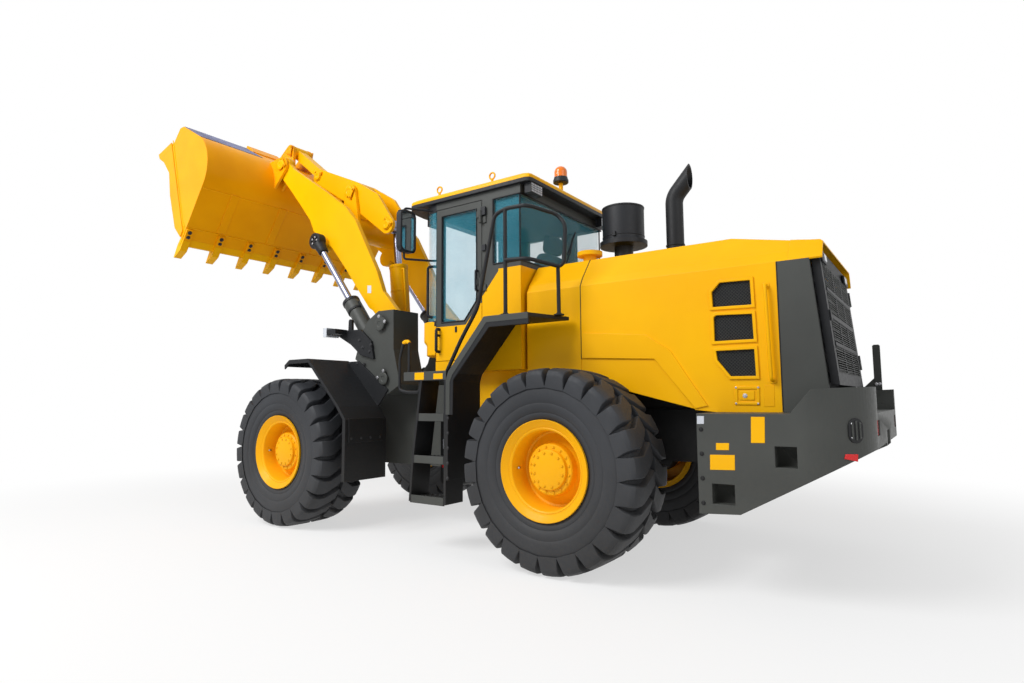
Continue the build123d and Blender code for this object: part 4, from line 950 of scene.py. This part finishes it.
def addWeightParts(w):
    dark, red, grey = bmesh.new(), bmesh.new(), bmesh.new()
    oval = roundedRectangle(*w["lamp"], 8)
    for hand in (1, -1):
        normal, spot = cornerSpot(w, hand, w["lampTurn"], w["lampZ"])
        level = Vector((-normal.y, normal.x, 0))
        facePlate(dark, spot, normal, oval, -16, 5)
        for k in range(w["slots"]):
            side = (k - (w["slots"] - 1) / 2) * w["slotStep"]
            slot = roundedRectangle(w["slotWide"], w["slotTall"] - abs(side) * 0.6, 5, 3)
            facePlate(grey, spot + level * side, normal, slot, 3, 10)
        facePlate(grey, spot, normal, oval, -18, 2)
        for a, b in w["screws"]:
            head = spot + level * a + Vector((0, 0, b)) + normal * 5
            bolt("rear_frame", head, normal, w["screwSize"], "steel")
        normal, spot = cornerSpot(w, hand, w["reflectorTurn"], w["reflectorZ"])
        facePlate(red, spot, normal, w["reflector"], -14, 4)
    for outline, half in ((w["post"], w["postHalf"]), (w["brace"], w["braceHalf"])):
        prism(grey, outline, w["postY"] - half, w["postY"] + half)
    for x in w["postBolts"]:
        bolt("rear_frame", (x, w["postY"] + w["postHalf"], w["postBoltZ"]), (0, 1, 0), 9, "steel")
    place("corner_lamps", dark, "rear_frame", "black", ease=0.002)
    place("weight_trim", grey, "rear_frame", "grey", ease=0.0015)
    place("reflectors", red, "rear_frame", "red", ease=0.001)
    for hand in (1, -1):                 # the seam bolts where the weight meets the rails
        low, high = ((w["seamX"], hand * w["seamY"], z) for z in w["seamZ"])
        boltRow("rear_frame", low, high, w["seamBolts"], (0, hand, 0), 10, "black")


addWeightParts(weightParts)

# grille door: fine bars on the slats, panel rails, corner lamps and a latch, by distance up the slope
grille = {
    "low": (-3570, 1388), "top": (-3480, 2344), "from": 92.0, "to": 868.0, "half": 608.0,
    "barStep": 17.0, "bar": 3.0, "uprights": 15, "rails": 3,
    "rail": ((-20, 6), (-14, -6), (14, -6), (20, 6)), "uprightHalf": 14.0,
    "middleFrom": 500.0, "middleHalf": 12.5,
    "lampFrom": 862.0, "lampTo": 944.0, "lampY": (470, 650), "lensY": (486, 574),
    "latch": ((440, 4), (446, -12), (514, -12), (520, 4)), "latchY": (622, 670),
}


def grilleAt(s, lead):
    low, top = Vector(grille["low"]), Vector(grille["top"])
    spot = low + (top - low).normalized() * s
    return (spot.x + lead, spot.y)


def grillePrism(bm, section, y0, y1):
    prism(bm, [grilleAt(s, lead) for s, lead in section], y0, y1)


def addGrilleMesh(g):
    lines = []
    for k in range(int((g["to"] - g["from"]) / g["barStep"]) + 1):
        x, z = grilleAt(g["from"] + k * g["barStep"], -1)
        lines.append([(x, -g["half"], z), (x, g["half"], z)])
    ends = [grilleAt(s, 9) for s in (g["from"], g["to"])]
    for k in range(g["uprights"]):
        y = (k / (g["uprights"] - 1) - 0.5) * 2 * g["half"]
        lines.append([(x, y, z) for x, z in ends])
    # the bars take the lighter grey finish as a painted glint against the black door
    wire("grille_mesh", lines, g["bar"], "grille_door", "grey", 6)


# the door as modelled, with its middle bar laid along the slope
def addGrilleFrame(g):
    door = nodes["grille_door"]
    bm = bmesh.new()
    bm.from_mesh(door.data)
    bm.transform(door.matrix_world)
    lean = (g["top"][0] - g["low"][0]) / (g["top"][1] - g["low"][1])
    turnAt = grilleAt(g["middleFrom"], 0)[1] / 1000
    for v in bm.verts:
        if abs(v.co.y) < g["middleHalf"] / 1000 and v.co.z > turnAt:
            v.co.x += (v.co.z - turnAt) * lean
    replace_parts(place("grille_frame", bm, "grille_door", "black", angle=20), "grille_door")


def addGrilleRails(g):
    rails, lenses = bmesh.new(), bmesh.new()
    low, high, half = g["lampFrom"], g["lampTo"], g["half"]
    for k in range(g["rails"]):
        s = g["from"] + (k + 1) * (g["to"] - g["from"]) / (g["rails"] + 1)
        grillePrism(rails, [(s + up, lead) for up, lead in g["rail"]], -half, half)
    upright = ((g["from"], 6), (g["from"], -4), (g["to"], -4), (g["to"], 6))
    for y in (-half / 3, half / 3):
        grillePrism(rails, upright, y - g["uprightHalf"], y + g["uprightHalf"])
    for hand in (1, -1):
        grillePrism(rails, ((low, 4), (low, -14), (high, -14), (high, 4)), *(hand * y for y in g["lampY"]))
        lens = ((low + 14, -10), (low + 16, -19), (high - 16, -19), (high - 14, -10))
        grillePrism(lenses, lens, *(hand * y for y in g["lensY"]))
    grillePrism(rails, g["latch"], *g["latchY"])
    place("grille_rails", rails, "grille_door", "black", ease=0.003)
    place("rear_lamps", lenses, "grille_door", "lamp", ease=0.003)


addGrilleMesh(grille)
addGrilleFrame(grille)
addGrilleRails(grille)
print("tail details ready")

# cab: rubber seals, rear wiper, hinge covers, door handle and lock, mirror rims and lamp housings
cab = {
    "half": 800.0, "rear": -1080.0, "pillar": -770.0, "postIn": 16.0,
    "glassLow": 2560.0, "glassHigh": 3180.0,
    "doorPane": [(-136, 2060), (-425, 2060), (-574, 2240), (-574, 3124), (-136, 3124)], "seal": 8.0,
    "wiperFoot": (60, 2600), "wiperMotor": [(0, 0), (0, 26), (22, 22), (22, 0)],
    "armRadius": 7.0, "bladeRadius": 9.0, "wiperArm": ((-20, 60, 2600), (-26, -40, 2760), (-20, -110, 2890)),
    "wiperBlade": ((-14, -20, 2760), (-14, -190, 3030)),
    "hinges": ((-694, -642, 826, 3042, 3122), (-690, -646, 818, 2700, 2760)),
    # bars on the door: x, foot, reach, low, high, radius and bend
    "pull": (-590, 802, 838, 2330, 2520, 10, 22), "handle": (-110, 800, 850, 1776, 1996, 15, 24),
    "handleBar": 1936.0, "handleBarRadius": 13.0,
    "lock": (-332, -310, 799, 808, 1956, 2010),
    "mirrorY": 1020.0, "mirrorZ": 2970.0, "mirrorWide": 214.0, "mirrorTall": 424.0, "mirrorRim": 40.0,
    "mirrorCorner": 60.0, "paneCorner": 44.0, "mirrorDepths": (168, 110, 106, 124), "paneX": 118.0,
    "lamps": ((-1190, -1, (600, 780)), (330, 1, (330, 500))), "lampLow": 3180.0, "lampHigh": 3262.0,
    "lampDeep": 70.0, "lampWall": 8.0, "lampBrim": 4.0, "lampLid": 10.0, "lampBack": 12.0,
    "gridAcross": 7, "gridUp": 4, "gridWire": 2.2,
}


def addSeals(c):
    y, low, high, post = c["half"], c["glassLow"], c["glassHigh"], c["rear"] + c["postIn"]
    lines = []
    for z in (low, high):
        lines.append([(c["pillar"], y, z), (c["rear"], y, z), (c["rear"], -y, z), (c["pillar"], -y, z)])
    for hand in (1, -1):
        lines.append([(c["pillar"], hand * y, z) for z in (low, high)])
        lines.append([(post, hand * (y - c["postIn"]), z) for z in (low, high)])
    wire("window_seals", lines, c["seal"], "rear_frame", "black")
    pane = c["doorPane"]
    wire("door_seals", [[(x, y, z) for x, z in pane + pane[:1]]], c["seal"], "cab_door", "black")


def addCabFittings(c):
    rear, side = c["rear"], c["half"]
    bm = bmesh.new()                     # rear wiper: motor, arm and blade
    lathe(bm, (rear - 4, *c["wiperFoot"]), (-1, 0, 0), c["wiperMotor"], 20)
    rod(bm, [(rear + x, y, z) for x, y, z in c["wiperArm"]], c["armRadius"], 20)
    rod(bm, [(rear + x, y, z) for x, y, z in c["wiperBlade"]], c["bladeRadius"], 0, 8)
    for hand in (1, -1):
        for x0, x1, out, z0, z1 in c["hinges"]:
            slab(bm, x0, x1, hand * side, hand * out, z0, z1)
    place("cab_fittings", bm, "rear_frame", "plastic", ease=0.004)
    bm = bmesh.new()
    for x, foot, out, low, high, radius, bend in (c["pull"], c["handle"]):
        rod(bm, [(x, foot, low), (x, out, low), (x, out, high), (x, foot, high)], radius, bend)
    x, foot, out = c["handle"][:3]
    rod(bm, [(x, foot, c["handleBar"]), (x, out, c["handleBar"])], c["handleBarRadius"])
    slab(bm, *c["lock"])
    place("door_fittings", bm, "cab_door", "plastic", ease=0.004)


def addMirrors(c):
    rims, glass = bmesh.new(), bmesh.new()
    wide, tall, lip = c["mirrorWide"], c["mirrorTall"], c["mirrorRim"]
    y, z = c["mirrorY"], c["mirrorZ"]
    outer = roundedRectangle(wide, tall, c["mirrorCorner"], 6)
    inner = roundedRectangle(wide - lip, tall - lip, c["paneCorner"], 6)
    for hand in (1, -1):
        rings = []
        for points, x in zip((outer, outer, inner, inner), c["mirrorDepths"]):
            rings.append([rims.verts.new(at(x, hand * (y + a), z + b)) for a, b in points])
        loft(rims, rings)
        facePlate(glass, (c["paneX"], hand * y, z), (-1, 0, 0), inner, -3, 2)
    place("mirror_rims", rims, "rear_frame", "plastic", angle=40)
    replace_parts(place("mirror_panes", glass, "rear_frame", "mirror"), "mirror_glass")


def addLampHousings(c):
    housings, lines = bmesh.new(), []
    low, high, wall, lid = c["lampLow"], c["lampHigh"], c["lampWall"], c["lampLid"]
    across, up = c["gridAcross"], c["gridUp"]
    for x, facing, ys in c["lamps"]:
        back, front, grid = x - facing * c["lampDeep"], x + facing * c["lampBrim"], x + facing
        for hand in (1, -1):
            y0, y1 = (hand * y for y in ys)
            in0, out1 = y0 - hand * wall, y1 + hand * wall
            for z0, z1 in ((high, high + lid), (low - lid, low)):
                slab(housings, back, front, in0, out1, z0, z1)
            for a, b in ((in0, y0), (y1, out1)):
                slab(housings, back, front, a, b, low - wall, high + wall)
            slab(housings, back, back + facing * c["lampBack"], in0, out1, low - wall, high + wall)
            for k in range(1, across):
                y = y0 + (y1 - y0) * k / across
                lines.append([(grid, y, low), (grid, y, high)])
            for k in range(1, up):
                z = low + (high - low) * k / up
                lines.append([(grid, y0, z), (grid, y1, z)])
    place("lamp_housings", housings, "rear_frame", "plastic", ease=0.002)
    wire("lamp_grids", lines, c["gridWire"], "rear_frame", "plastic", 4)


addSeals(cab)
addCabFittings(cab)
addMirrors(cab)
addLampHousings(cab)

# on the hood and the roof: bands on drum and stack as (height, radius, tall), latches, the beacon's cup
topParts = {
    "hoodTop": 2520.0, "drumX": -1720.0, "drumBands": ((574, 200, 18), (300, 199, 14), (40, 95, 22)),
    "drumLid": [(0, 0), (0, 192), (8, 186), (14, 120), (16, 0)], "lidAt": 588.0,
    "drumLatch": (196, 214, 288, 330),
    "stackX": -2225.0, "stackBore": 72.0, "stackBands": ((62, 88, 26), (150, 84, 14)),
    "stackLatch": (84, 106, 64, 86),
    "stackBolts": 6, "stackBoltRing": 104.0, "stackFoot": 60.0, "beaconX": -1040.0, "beaconLow": 3508.0,
    "cup": [(0, 0), (0, 74), (6, 79), (30, 79), (44, 72), (58, 70), (58, 66), (30, 64), (30, 0)],
}


def addLatch(bm, x, half, top, latch):
    y0, y1, z0, z1 = latch
    slab(bm, x - half, x + half, y0, y1, top + z0, top + z1)


def addTopParts(t):
    top, drum, stack, up = t["hoodTop"], t["drumX"], t["stackX"], (0, 0, 1)
    bore = t["stackBore"]
    bm = bmesh.new()
    for z, radius, tall in t["drumBands"]:
        lathe(bm, (drum, 0, top + z), up, bandProfile(radius - 14, radius, tall), 48)
    lathe(bm, (drum, 0, top + t["lidAt"]), up, t["drumLid"], 48)
    addLatch(bm, drum, 14, top, t["drumLatch"])
    place("drum_bands", bm, "rear_frame", "plastic", angle=30)
    bm = bmesh.new()
    for z, radius, tall in t["stackBands"]:
        ring = [(0, bore), (0, radius), (tall, radius), (tall, bore), (0, bore)]
        lathe(bm, (stack, 0, top + z), up, ring)
    addLatch(bm, stack, 10, top, t["stackLatch"])
    place("stack_clamps", bm, "rear_frame", "black", ease=0.002)
    bm = bmesh.new()
    lathe(bm, (t["beaconX"], 0, t["beaconLow"]), up, t["cup"])
    place("beacon_cup", bm, "rear_frame", "plastic")
    for k in range(t["stackBolts"]):
        a = 2 * math.pi * k / t["stackBolts"]
        x, y = stack + t["stackBoltRing"] * math.cos(a), t["stackBoltRing"] * math.sin(a)
        bolt("rear_frame", (x, y, top + t["stackFoot"]), up, 8, "iron")


addTopParts(topParts)

# steps and walkway: studs on the treads, edge bands, a grip sleeve on the ladder loop, bolts on the guards
walk = {
    "steps": ((420, -170), (770, -205), (1140, -258)), "stepBack": -566.0, "stepIn": 1030.0, "out": 1250.0,
    "studIn": 36.0, "studEdge": 40.0, "tread": 30.0, "studRow": 74.0, "walkRow": 80.0, "studSize": 9.0,
    "platform": (-540, -130, 1500), "walkway": (-1400, -1050, 2000), "walkIn": 860.0,
    "band": [(-1452, 2003), (-1008, 2003), (-615, 1552), (-588, 1474), (-588, 1180), (-634, 1180),
             (-634, 1462), (-662, 1522), (-1034, 1950), (-1452, 1950)],
    "platformEdge": (-590, -77, 1482, 1562), "flapClamp": (652, 668, 826, 1262, 892, 1130),
    "grip": ((-98, 1205, 1834), (-86, 1205, 1849), (-48, 1205, 1850), (-24, 1205, 1838)),
    "towerBolts": ((880, 1900), (900, 1830), (1010, 1880), (1060, 1960)), "towerY": 795.0,
    # rows of bolts on the left: body, first and last bolt, count, facing and size
    "guardBolts": (("rear_frame", (-590, 860, 1150), (-590, 1000, 1150), 3, (1, 0, 0), 10),
                   ("rear_frame", (-612, 1250, 640), (-612, 1250, 1150), 5, (0, 1, 0), 9),
                   ("front_frame", (652, 860, 936), (652, 1230, 936), 4, (-1, 0, 0), 10),
                   ("front_frame", (1000, 781, 1700), (1230, 781, 1715), 3, (0, 1, 0), 11)),
}


def addStuds(w):
    edge, size, up = w["studEdge"], w["studSize"], (0, 0, 1)
    rows = [w["stepIn"] + w["studIn"] + row * w["studRow"] for row in range(3)]
    treads = [(w["stepBack"] + edge, front - edge, z + w["tread"], 7) for z, front in w["steps"]]
    for back, front, z, count in treads + [(*w["platform"], 8)]:
        for y in rows:
            boltRow("rear_frame", (back, y, z), (front, y, z), count, up, size, "iron")
    back, front, z = w["walkway"]
    for hand in (1, -1):
        for row in range(5):
            y = hand * (w["walkIn"] + row * w["walkRow"])
            boltRow("rear_frame", (back, y, z), (front, y, z), 7, up, size, "iron")


def addStepTrim(w):
    out = w["out"]
    bands, clamps, grip = bmesh.new(), bmesh.new(), bmesh.new()
    for hand in (1, -1):
        prism(bands, w["band"], hand * (out - 4), hand * (out + 3))
    x0, x1, z0, z1 = w["platformEdge"]
    slab(bands, x0, x1, out - 4, out + 1, z0, z1)
    for z, front in w["steps"]:
        slab(bands, w["stepBack"] + 4, front - 14, out - 4, out + 2, z - 18, z + 48)
    place("step_bands", bands, "rear_frame", "grey", ease=0.0015)
    x0, x1, y0, y1, z0, z1 = w["flapClamp"]
    for hand in (1, -1):
        slab(clamps, x0, x1, hand * y0, hand * y1, z0, z1)
    place("flap_clamps", clamps, "front_frame", "black", ease=0.002)
    rod(grip, w["grip"], 18, 12)
    place("grip_sleeve", grip, "rear_frame", "rim")


# guards in front of the rear wheels, the front wheels' flaps and the front frame's towers
def addGuardBolts(w):
    for hand in (1, -1):
        for body, first, last, count, facing, size in w["guardBolts"]:
            first, last, facing = ((x, hand * y, z) for x, y, z in (first, last, facing))
            boltRow(body, first, last, count, facing, size, "iron")
        for x, z in w["towerBolts"]:
            bolt("front_frame", (x, hand * w["towerY"], z), (0, hand, 0), 13, "iron")


addStuds(walk)
addStepTrim(walk)
addGuardBolts(walk)

# seat: crowned cushions with sewn channels on a bellows base, and the console beside it
seat = {
    "cushions": [             # centre, half sizes, lean in degrees and where the channels run
        ("seat_base_cushion", (-608, 0, 1972), (250, 258, 74), 4, 0.45),
        ("seat_back_cushion", (-856, 0, 2400), (76, 240, 380), -9, 0.5),
        ("seat_head_rest", (-936, 0, 2868), (52, 140, 92), -9, 0.0)],
    "cuts": 14, "square": 5.0, "crown": 0.12, "channel": 9.0, "channelWidth": 0.035, "fill": 0.7,
    "bellowsX": -620.0, "foot": (400, 360, 40), "armRadius": 24.0, "postRadius": 8.0,
    "bellows": ((1640, 1.0), (1665, 1.0), (1700, 0.86), (1730, 0.98), (1760, 0.86),
                (1790, 0.98), (1820, 0.86), (1850, 0.98), (1880, 1.0), (1900, 1.05)),
    "armRest": ((-820, 250, 2080), (-815, 262, 2150), (-600, 262, 2160)),
    "restPosts": ((-905, 60, 2700), (-930, 60, 2840)),
    "sideBox": [(-860, 1640), (-250, 1640), (-190, 1900), (-240, 2080), (-700, 2110), (-860, 2060)],
    "dash": [(60, 1640), (20, 2010), (-110, 2120), (-40, 2140), (80, 2060), (100, 1640)],
    "sideBoxY": (-720, -430), "dashHalf": 300.0, "levers": 3, "leverX": -410.0, "leverStep": 70.0,
    "lever": ((-10, -560, 2080), (0, -556, 2230)), "leverRadius": 9.0, "knobAt": (-556, 2225),
    "knob": [(0, 0), (0, 14), (14, 21), (38, 19), (50, 0)],
}


def addCushion(name, centre, half, lean, channel, s):
    bm = bmesh.new()
    bmesh.ops.create_cube(bm, size=2.0)
    bmesh.ops.subdivide_edges(bm, edges=bm.edges[:], cuts=s["cuts"], use_grid_fill=True)
    thin = min(range(3), key=lambda k: half[k])
    wide = [k for k in range(3) if k != thin]
    turn = Matrix.Rotation(math.radians(lean), 3, "Y")
    for v in bm.verts:
        p = Vector(v.co)
        p /= sum(abs(c) ** s["square"] for c in p) ** (1 / s["square"])
        crown = 1 - s["crown"] * (p[wide[0]] ** 2 + p[wide[1]] ** 2)
        groove = 0.0
        if channel and abs(p[thin]) > 0.6:
            groove = sum(math.exp(-((p[1] - side * channel) / s["channelWidth"]) ** 2) for side in (1, -1))
        moved = Vector(c * size for c, size in zip(p, half))
        moved[thin] = moved[thin] * crown - math.copysign(s["channel"], p[thin]) * groove
        v.co = at(*(turn @ moved + Vector(centre)))
    piece = place(name, bm, "rear_frame", "fabric", angle=180)
    smooth = piece.modifiers.new("soft", "SUBSURF")
    smooth.levels = smooth.render_levels = 1
    return piece


def addSeat(s):
    for name, centre, half, lean, channel in s["cushions"]:
        piece = addCushion(name, centre, half, lean, channel, s)
        if name == "seat_base_cushion":
            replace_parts(piece, "seat")
    bm = bmesh.new()
    foot = roundedRectangle(*s["foot"])
    loft(bm, [[bm.verts.new(at(s["bellowsX"] + a * swell, b * swell, z)) for a, b in foot]
              for z, swell in s["bellows"]])
    for hand in (1, -1):                 # arm rests and the posts of the head rest
        rod(bm, [(x, hand * y, z) for x, y, z in s["armRest"]], s["armRadius"], 60)
    for hand in (1, -1):
        rod(bm, [(x, hand * y, z) for x, y, z in s["restPosts"]], s["postRadius"])
    place("seat_frame", bm, "rear_frame", "plastic")


def addConsole(s):
    bm = bmesh.new()
    prism(bm, s["sideBox"], *s["sideBoxY"])
    for k in range(s["levers"]):
        x = s["leverX"] + s["leverStep"] * k
        rod(bm, [(x + lead, y, z) for lead, y, z in s["lever"]], s["leverRadius"])
        lathe(bm, (x, *s["knobAt"]), (0, 0, 1), s["knob"], 16)
    prism(bm, s["dash"], -s["dashHalf"], s["dashHalf"])
    place("cab_console", bm, "rear_frame", "plastic", ease=0.012)


addSeat(seat)
addConsole(seat)
print("cab, steps and seat ready")

# roof: a crowned shell over a black gutter band, with its lift eyes and the beacon's foot
roof = {
    "plan": [(392, 500), (372, 640), (332, 750), (262, 822), (200, 831), (-1150, 831), (-1188, 815),
             (-1200, 780)],
    "middle": -404.0, "low": 3267.0, "band": 3305.0, "beaconX": -1040.0, "skin": 3392.0,
    "levels": ((3303, 1.0), (3328, 1.0), (3345, 0.985), (3388, 0.88), (3424, 0.74), (3446, 0.52),
               (3452, 0.3)),
    "eyes": ((78, 600), (-612, 600)), "eyeZ": 3500.0, "eyeRing": 32.0, "eyeWire": 9.0,
    "eyeStem": 3472.0, "stemRadius": 13.0, "bandOver": (1.002, 1.003),
    "beaconFoot": [(0, 0), (0, 34), (22, 34), (26, 22), (122, 22), (122, 0)],
    "lining": (-1050, -70, -744, 744, 3190, 3202),
}


def addRoof(r):
    outline = r["plan"] + [(x, -y) for x, y in reversed(r["plan"])]
    middle, wide = r["middle"], r["eyeRing"]
    bm = bmesh.new()
    rings = []
    for z, k in r["levels"]:
        rings.append([bm.verts.new(at(middle + (x - middle) * k, y * k, z)) for x, y in outline])
    loft(bm, rings)
    turns = [2 * math.pi * k / 20 for k in range(21)]
    for x, y in r["eyes"]:
        for hand in (1, -1):
            ring = [(x + wide * math.cos(a), hand * y, r["eyeZ"] + wide * math.sin(a)) for a in turns]
            rod(bm, ring, r["eyeWire"], 0, 10)
            rod(bm, [(x, hand * y, r["skin"]), (x, hand * y, r["eyeStem"])], r["stemRadius"])
    lathe(bm, (r["beaconX"], 0, r["skin"]), (0, 0, 1), r["beaconFoot"], 28)
    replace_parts(place("roof_shell", bm, "rear_frame", "yellow", ease=0.004), "cab_roof")
    bm = bmesh.new()
    longer, wider = r["bandOver"]
    flatPlate(bm, [(middle + (x - middle) * longer, y * wider) for x, y in outline], r["low"], r["band"])
    place("roof_band", bm, "rear_frame", "plastic", ease=0.004)
    bm = bmesh.new()                     # lining over the driver
    slab(bm, *r["lining"])
    place("roof_lining", bm, "rear_frame", "fabric", ease=0.004)


addRoof(roof)

# bowed corner panes beside the windscreen with their posts, and the bowed tub corners under them
bow = {
    "arc": [(-58, 801), (20, 789), (84, 753), (124, 694), (141, 622), (132, 560)],
    "wall": 6.0, "postWall": 16.0, "low": 2082.0, "high": 3190.0,
    "sill": (-50, 2), "head": (-6, 80), "postPast": 20.0, "postRadius": 16.0,
    "tub": [(-62, 801), (64, 797), (132, 764), (182, 690), (226, 624), (226, 552), (122, 552)],
    "tubFoot": [(-62, 801), (56, 795), (120, 734), (168, 668), (208, 606), (208, 552), (122, 552)],
    "tubZ": (1744, 1850, 1884),
}


def addBow(b):
    glass, tub, posts = bmesh.new(), bmesh.new(), bmesh.new()
    low, high = b["low"], b["high"]
    foot, knee, hip = b["tubZ"]
    for hand in (1, -1):
        arc = [(x, hand * y) for x, y in b["arc"]]
        back, deep = ([(x - wall, hand * (abs(y) - wall)) for x, y in reversed(arc)]
                      for wall in (b["wall"], b["postWall"]))
        flatPlate(glass, arc + back, low, high)
        for z, (under, over) in ((low, b["sill"]), (high, b["head"])):
            flatPlate(posts, [(x + 2, y + hand * 2) for x, y in arc] + deep, z + under, z + over)
        rod(posts, [(*arc[-1], low - b["postPast"]), (*arc[-1], high + b["postPast"])], b["postRadius"])
        rings = ((b["tubFoot"], foot), (b["tubFoot"], knee), (b["tub"], hip), (b["tub"], low))
        loft(tub, [[tub.verts.new(at(x, hand * y, z)) for x, y in plan] for plan, z in rings])
    place("corner_panes", glass, "rear_frame", "glass")
    place("tub_corners", tub, "rear_frame", "yellow", ease=0.01)
    place("corner_posts", posts, "rear_frame", "plastic", ease=0.002)


addBow(bow)

# hand rails: bent tube with a loop that overhangs its rear post, the ladder loop and the cab's grab bars
rails = {
    "y": 1205.0, "walk": 2000.0, "in": 930.0, "radius": 17.0, "bend": 60.0,
    "top": [(-1090, 1205, 2870), (-1200, 1205, 2905), (-1419, 1205, 2897), (-1545, 930, 2862),
            (-1622, 930, 2765), (-1606, 930, 2440), (-1560, 930, 2412), (-1420, 1205, 2452),
            (-1200, 1205, 2466)],
    "foot": [(-545, 1205, 1500), (-545, 1205, 1530), (-720, 1205, 1825), (-906, 1205, 2090)],
    "rightFoot": [(-1030, 1205, 2000), (-1030, 1205, 2090)],
    "loop": [(-100, 1205, 1500), (-100, 1205, 1850), (-30, 1205, 1850), (20, 1205, 1690), (20, 1205, 1400),
             (-90, 1205, 1380), (-240, 1205, 1380), (-240, 1205, 1480)],
    "grab": [(-30, 762), (37, 815)], "grabZ": (2640, 2130), "grabRadius": 14.0, "grabBend": 34.0,
    "loopRadius": 15.0, "loopBend": 36.0,
    "post": (-1200, -1200, 2896), "rearPost": (-1550, -1546, 2426),
    "flange": [(0, 0), (0, 44), (10, 44), (14, 26), (22, 20), (22, 0)],
}


def addRails(r):
    bm = bmesh.new()
    (x0, y0), (x1, y1) = r["grab"]
    high, low = r["grabZ"]
    for hand in (1, -1):
        path = (r["foot"] if hand > 0 else r["rightFoot"]) + r["top"]
        rod(bm, [(x, hand * y, z) for x, y, z in path], r["radius"], r["bend"])
        for (foot, head, z), y in ((r["post"], r["y"]), (r["rearPost"], r["in"])):
            rod(bm, [(foot, hand * y, r["walk"]), (head, hand * y, z)], r["radius"])
            lathe(bm, (foot, hand * y, r["walk"]), (0, 0, 1), r["flange"], 24)
        grab = [(x0, hand * y0, high), (x1, hand * y1, high), (x1, hand * y1, low), (x0, hand * y0, low)]
        rod(bm, grab, r["grabRadius"], r["grabBend"])
    rod(bm, r["loop"], r["loopRadius"], r["loopBend"])
    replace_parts(place("rail_tubes", bm, "rear_frame", "black"), "handrails")


addRails(rails)

# tail: a lip over the grille, lower panels over the rear wheels, the weight's boss drawn up to the slope
tail = {
    "run": [(-3296, 2429, 634), (-3345, 2421, 645), (-3430, 2404, 668), (-3496, 2393, 686),
            (-3514, 2380, 686)],
    "shoulder": (716, 2334), "hem": (752, 2262), "wall": 12.0,
    "panel": [(-1655, 1652), (-2308, 1617), (-2622, 1236), (-2602, 1228), (-1972, 1389), (-1655, 1467)],
    "panelY": 746.0, "panelWall": 14.0,
    "weightFrom": (-3030, 565), "weightTo": (-3780, 985), "boss": 175.0, "hang": 22.0,
}


def addTailLip(t):
    bm = bmesh.new()
    rings = []
    for x, top, half in t["run"]:
        left = [t["hem"], t["shoulder"], (half, top)]
        outer = left + [(-y, z) for y, z in reversed(left)]
        inner = [(y - math.copysign(t["wall"] * 0.8, y), z - t["wall"]) for y, z in reversed(outer)]
        rings.append([bm.verts.new(at(x, y, z)) for y, z in outer + inner])
    loft(bm, rings)
    place("tail_lip", bm, "rear_frame", "yellow", ease=0.003)
    bm = bmesh.new()
    for hand in (1, -1):
        prism(bm, t["panel"], hand * (t["panelY"] - t["panelWall"]), hand * t["panelY"])
    place("wheel_panels", bm, "rear_frame", "yellow", ease=0.003)


def addTailWeight(t):
    weight = nodes["counterweight"]
    bm = bmesh.new()
    bm.from_mesh(weight.data)
    bm.transform(weight.matrix_world)
    near, far = (at(x, 0, z) for x, z in (t["weightFrom"], t["weightTo"]))
    for v in bm.verts:
        slope = near.z + (far.z - near.z) * (v.co.x - near.x) / (far.x - near.x)
        if abs(v.co.y) < t["boss"] / 1000 and v.co.x < near.x - 0.02 and v.co.z < slope - 0.002:
            v.co.z = slope - t["hang"] / 1000
    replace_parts(place("tail_weight", bm, "rear_frame", "grey", angle=20), "counterweight")


addTailLip(tail)
addTailWeight(tail)
print("roof, rails and tail ready")

growBolts()
print("bolts on", len(bolts), "bodies and finishes")
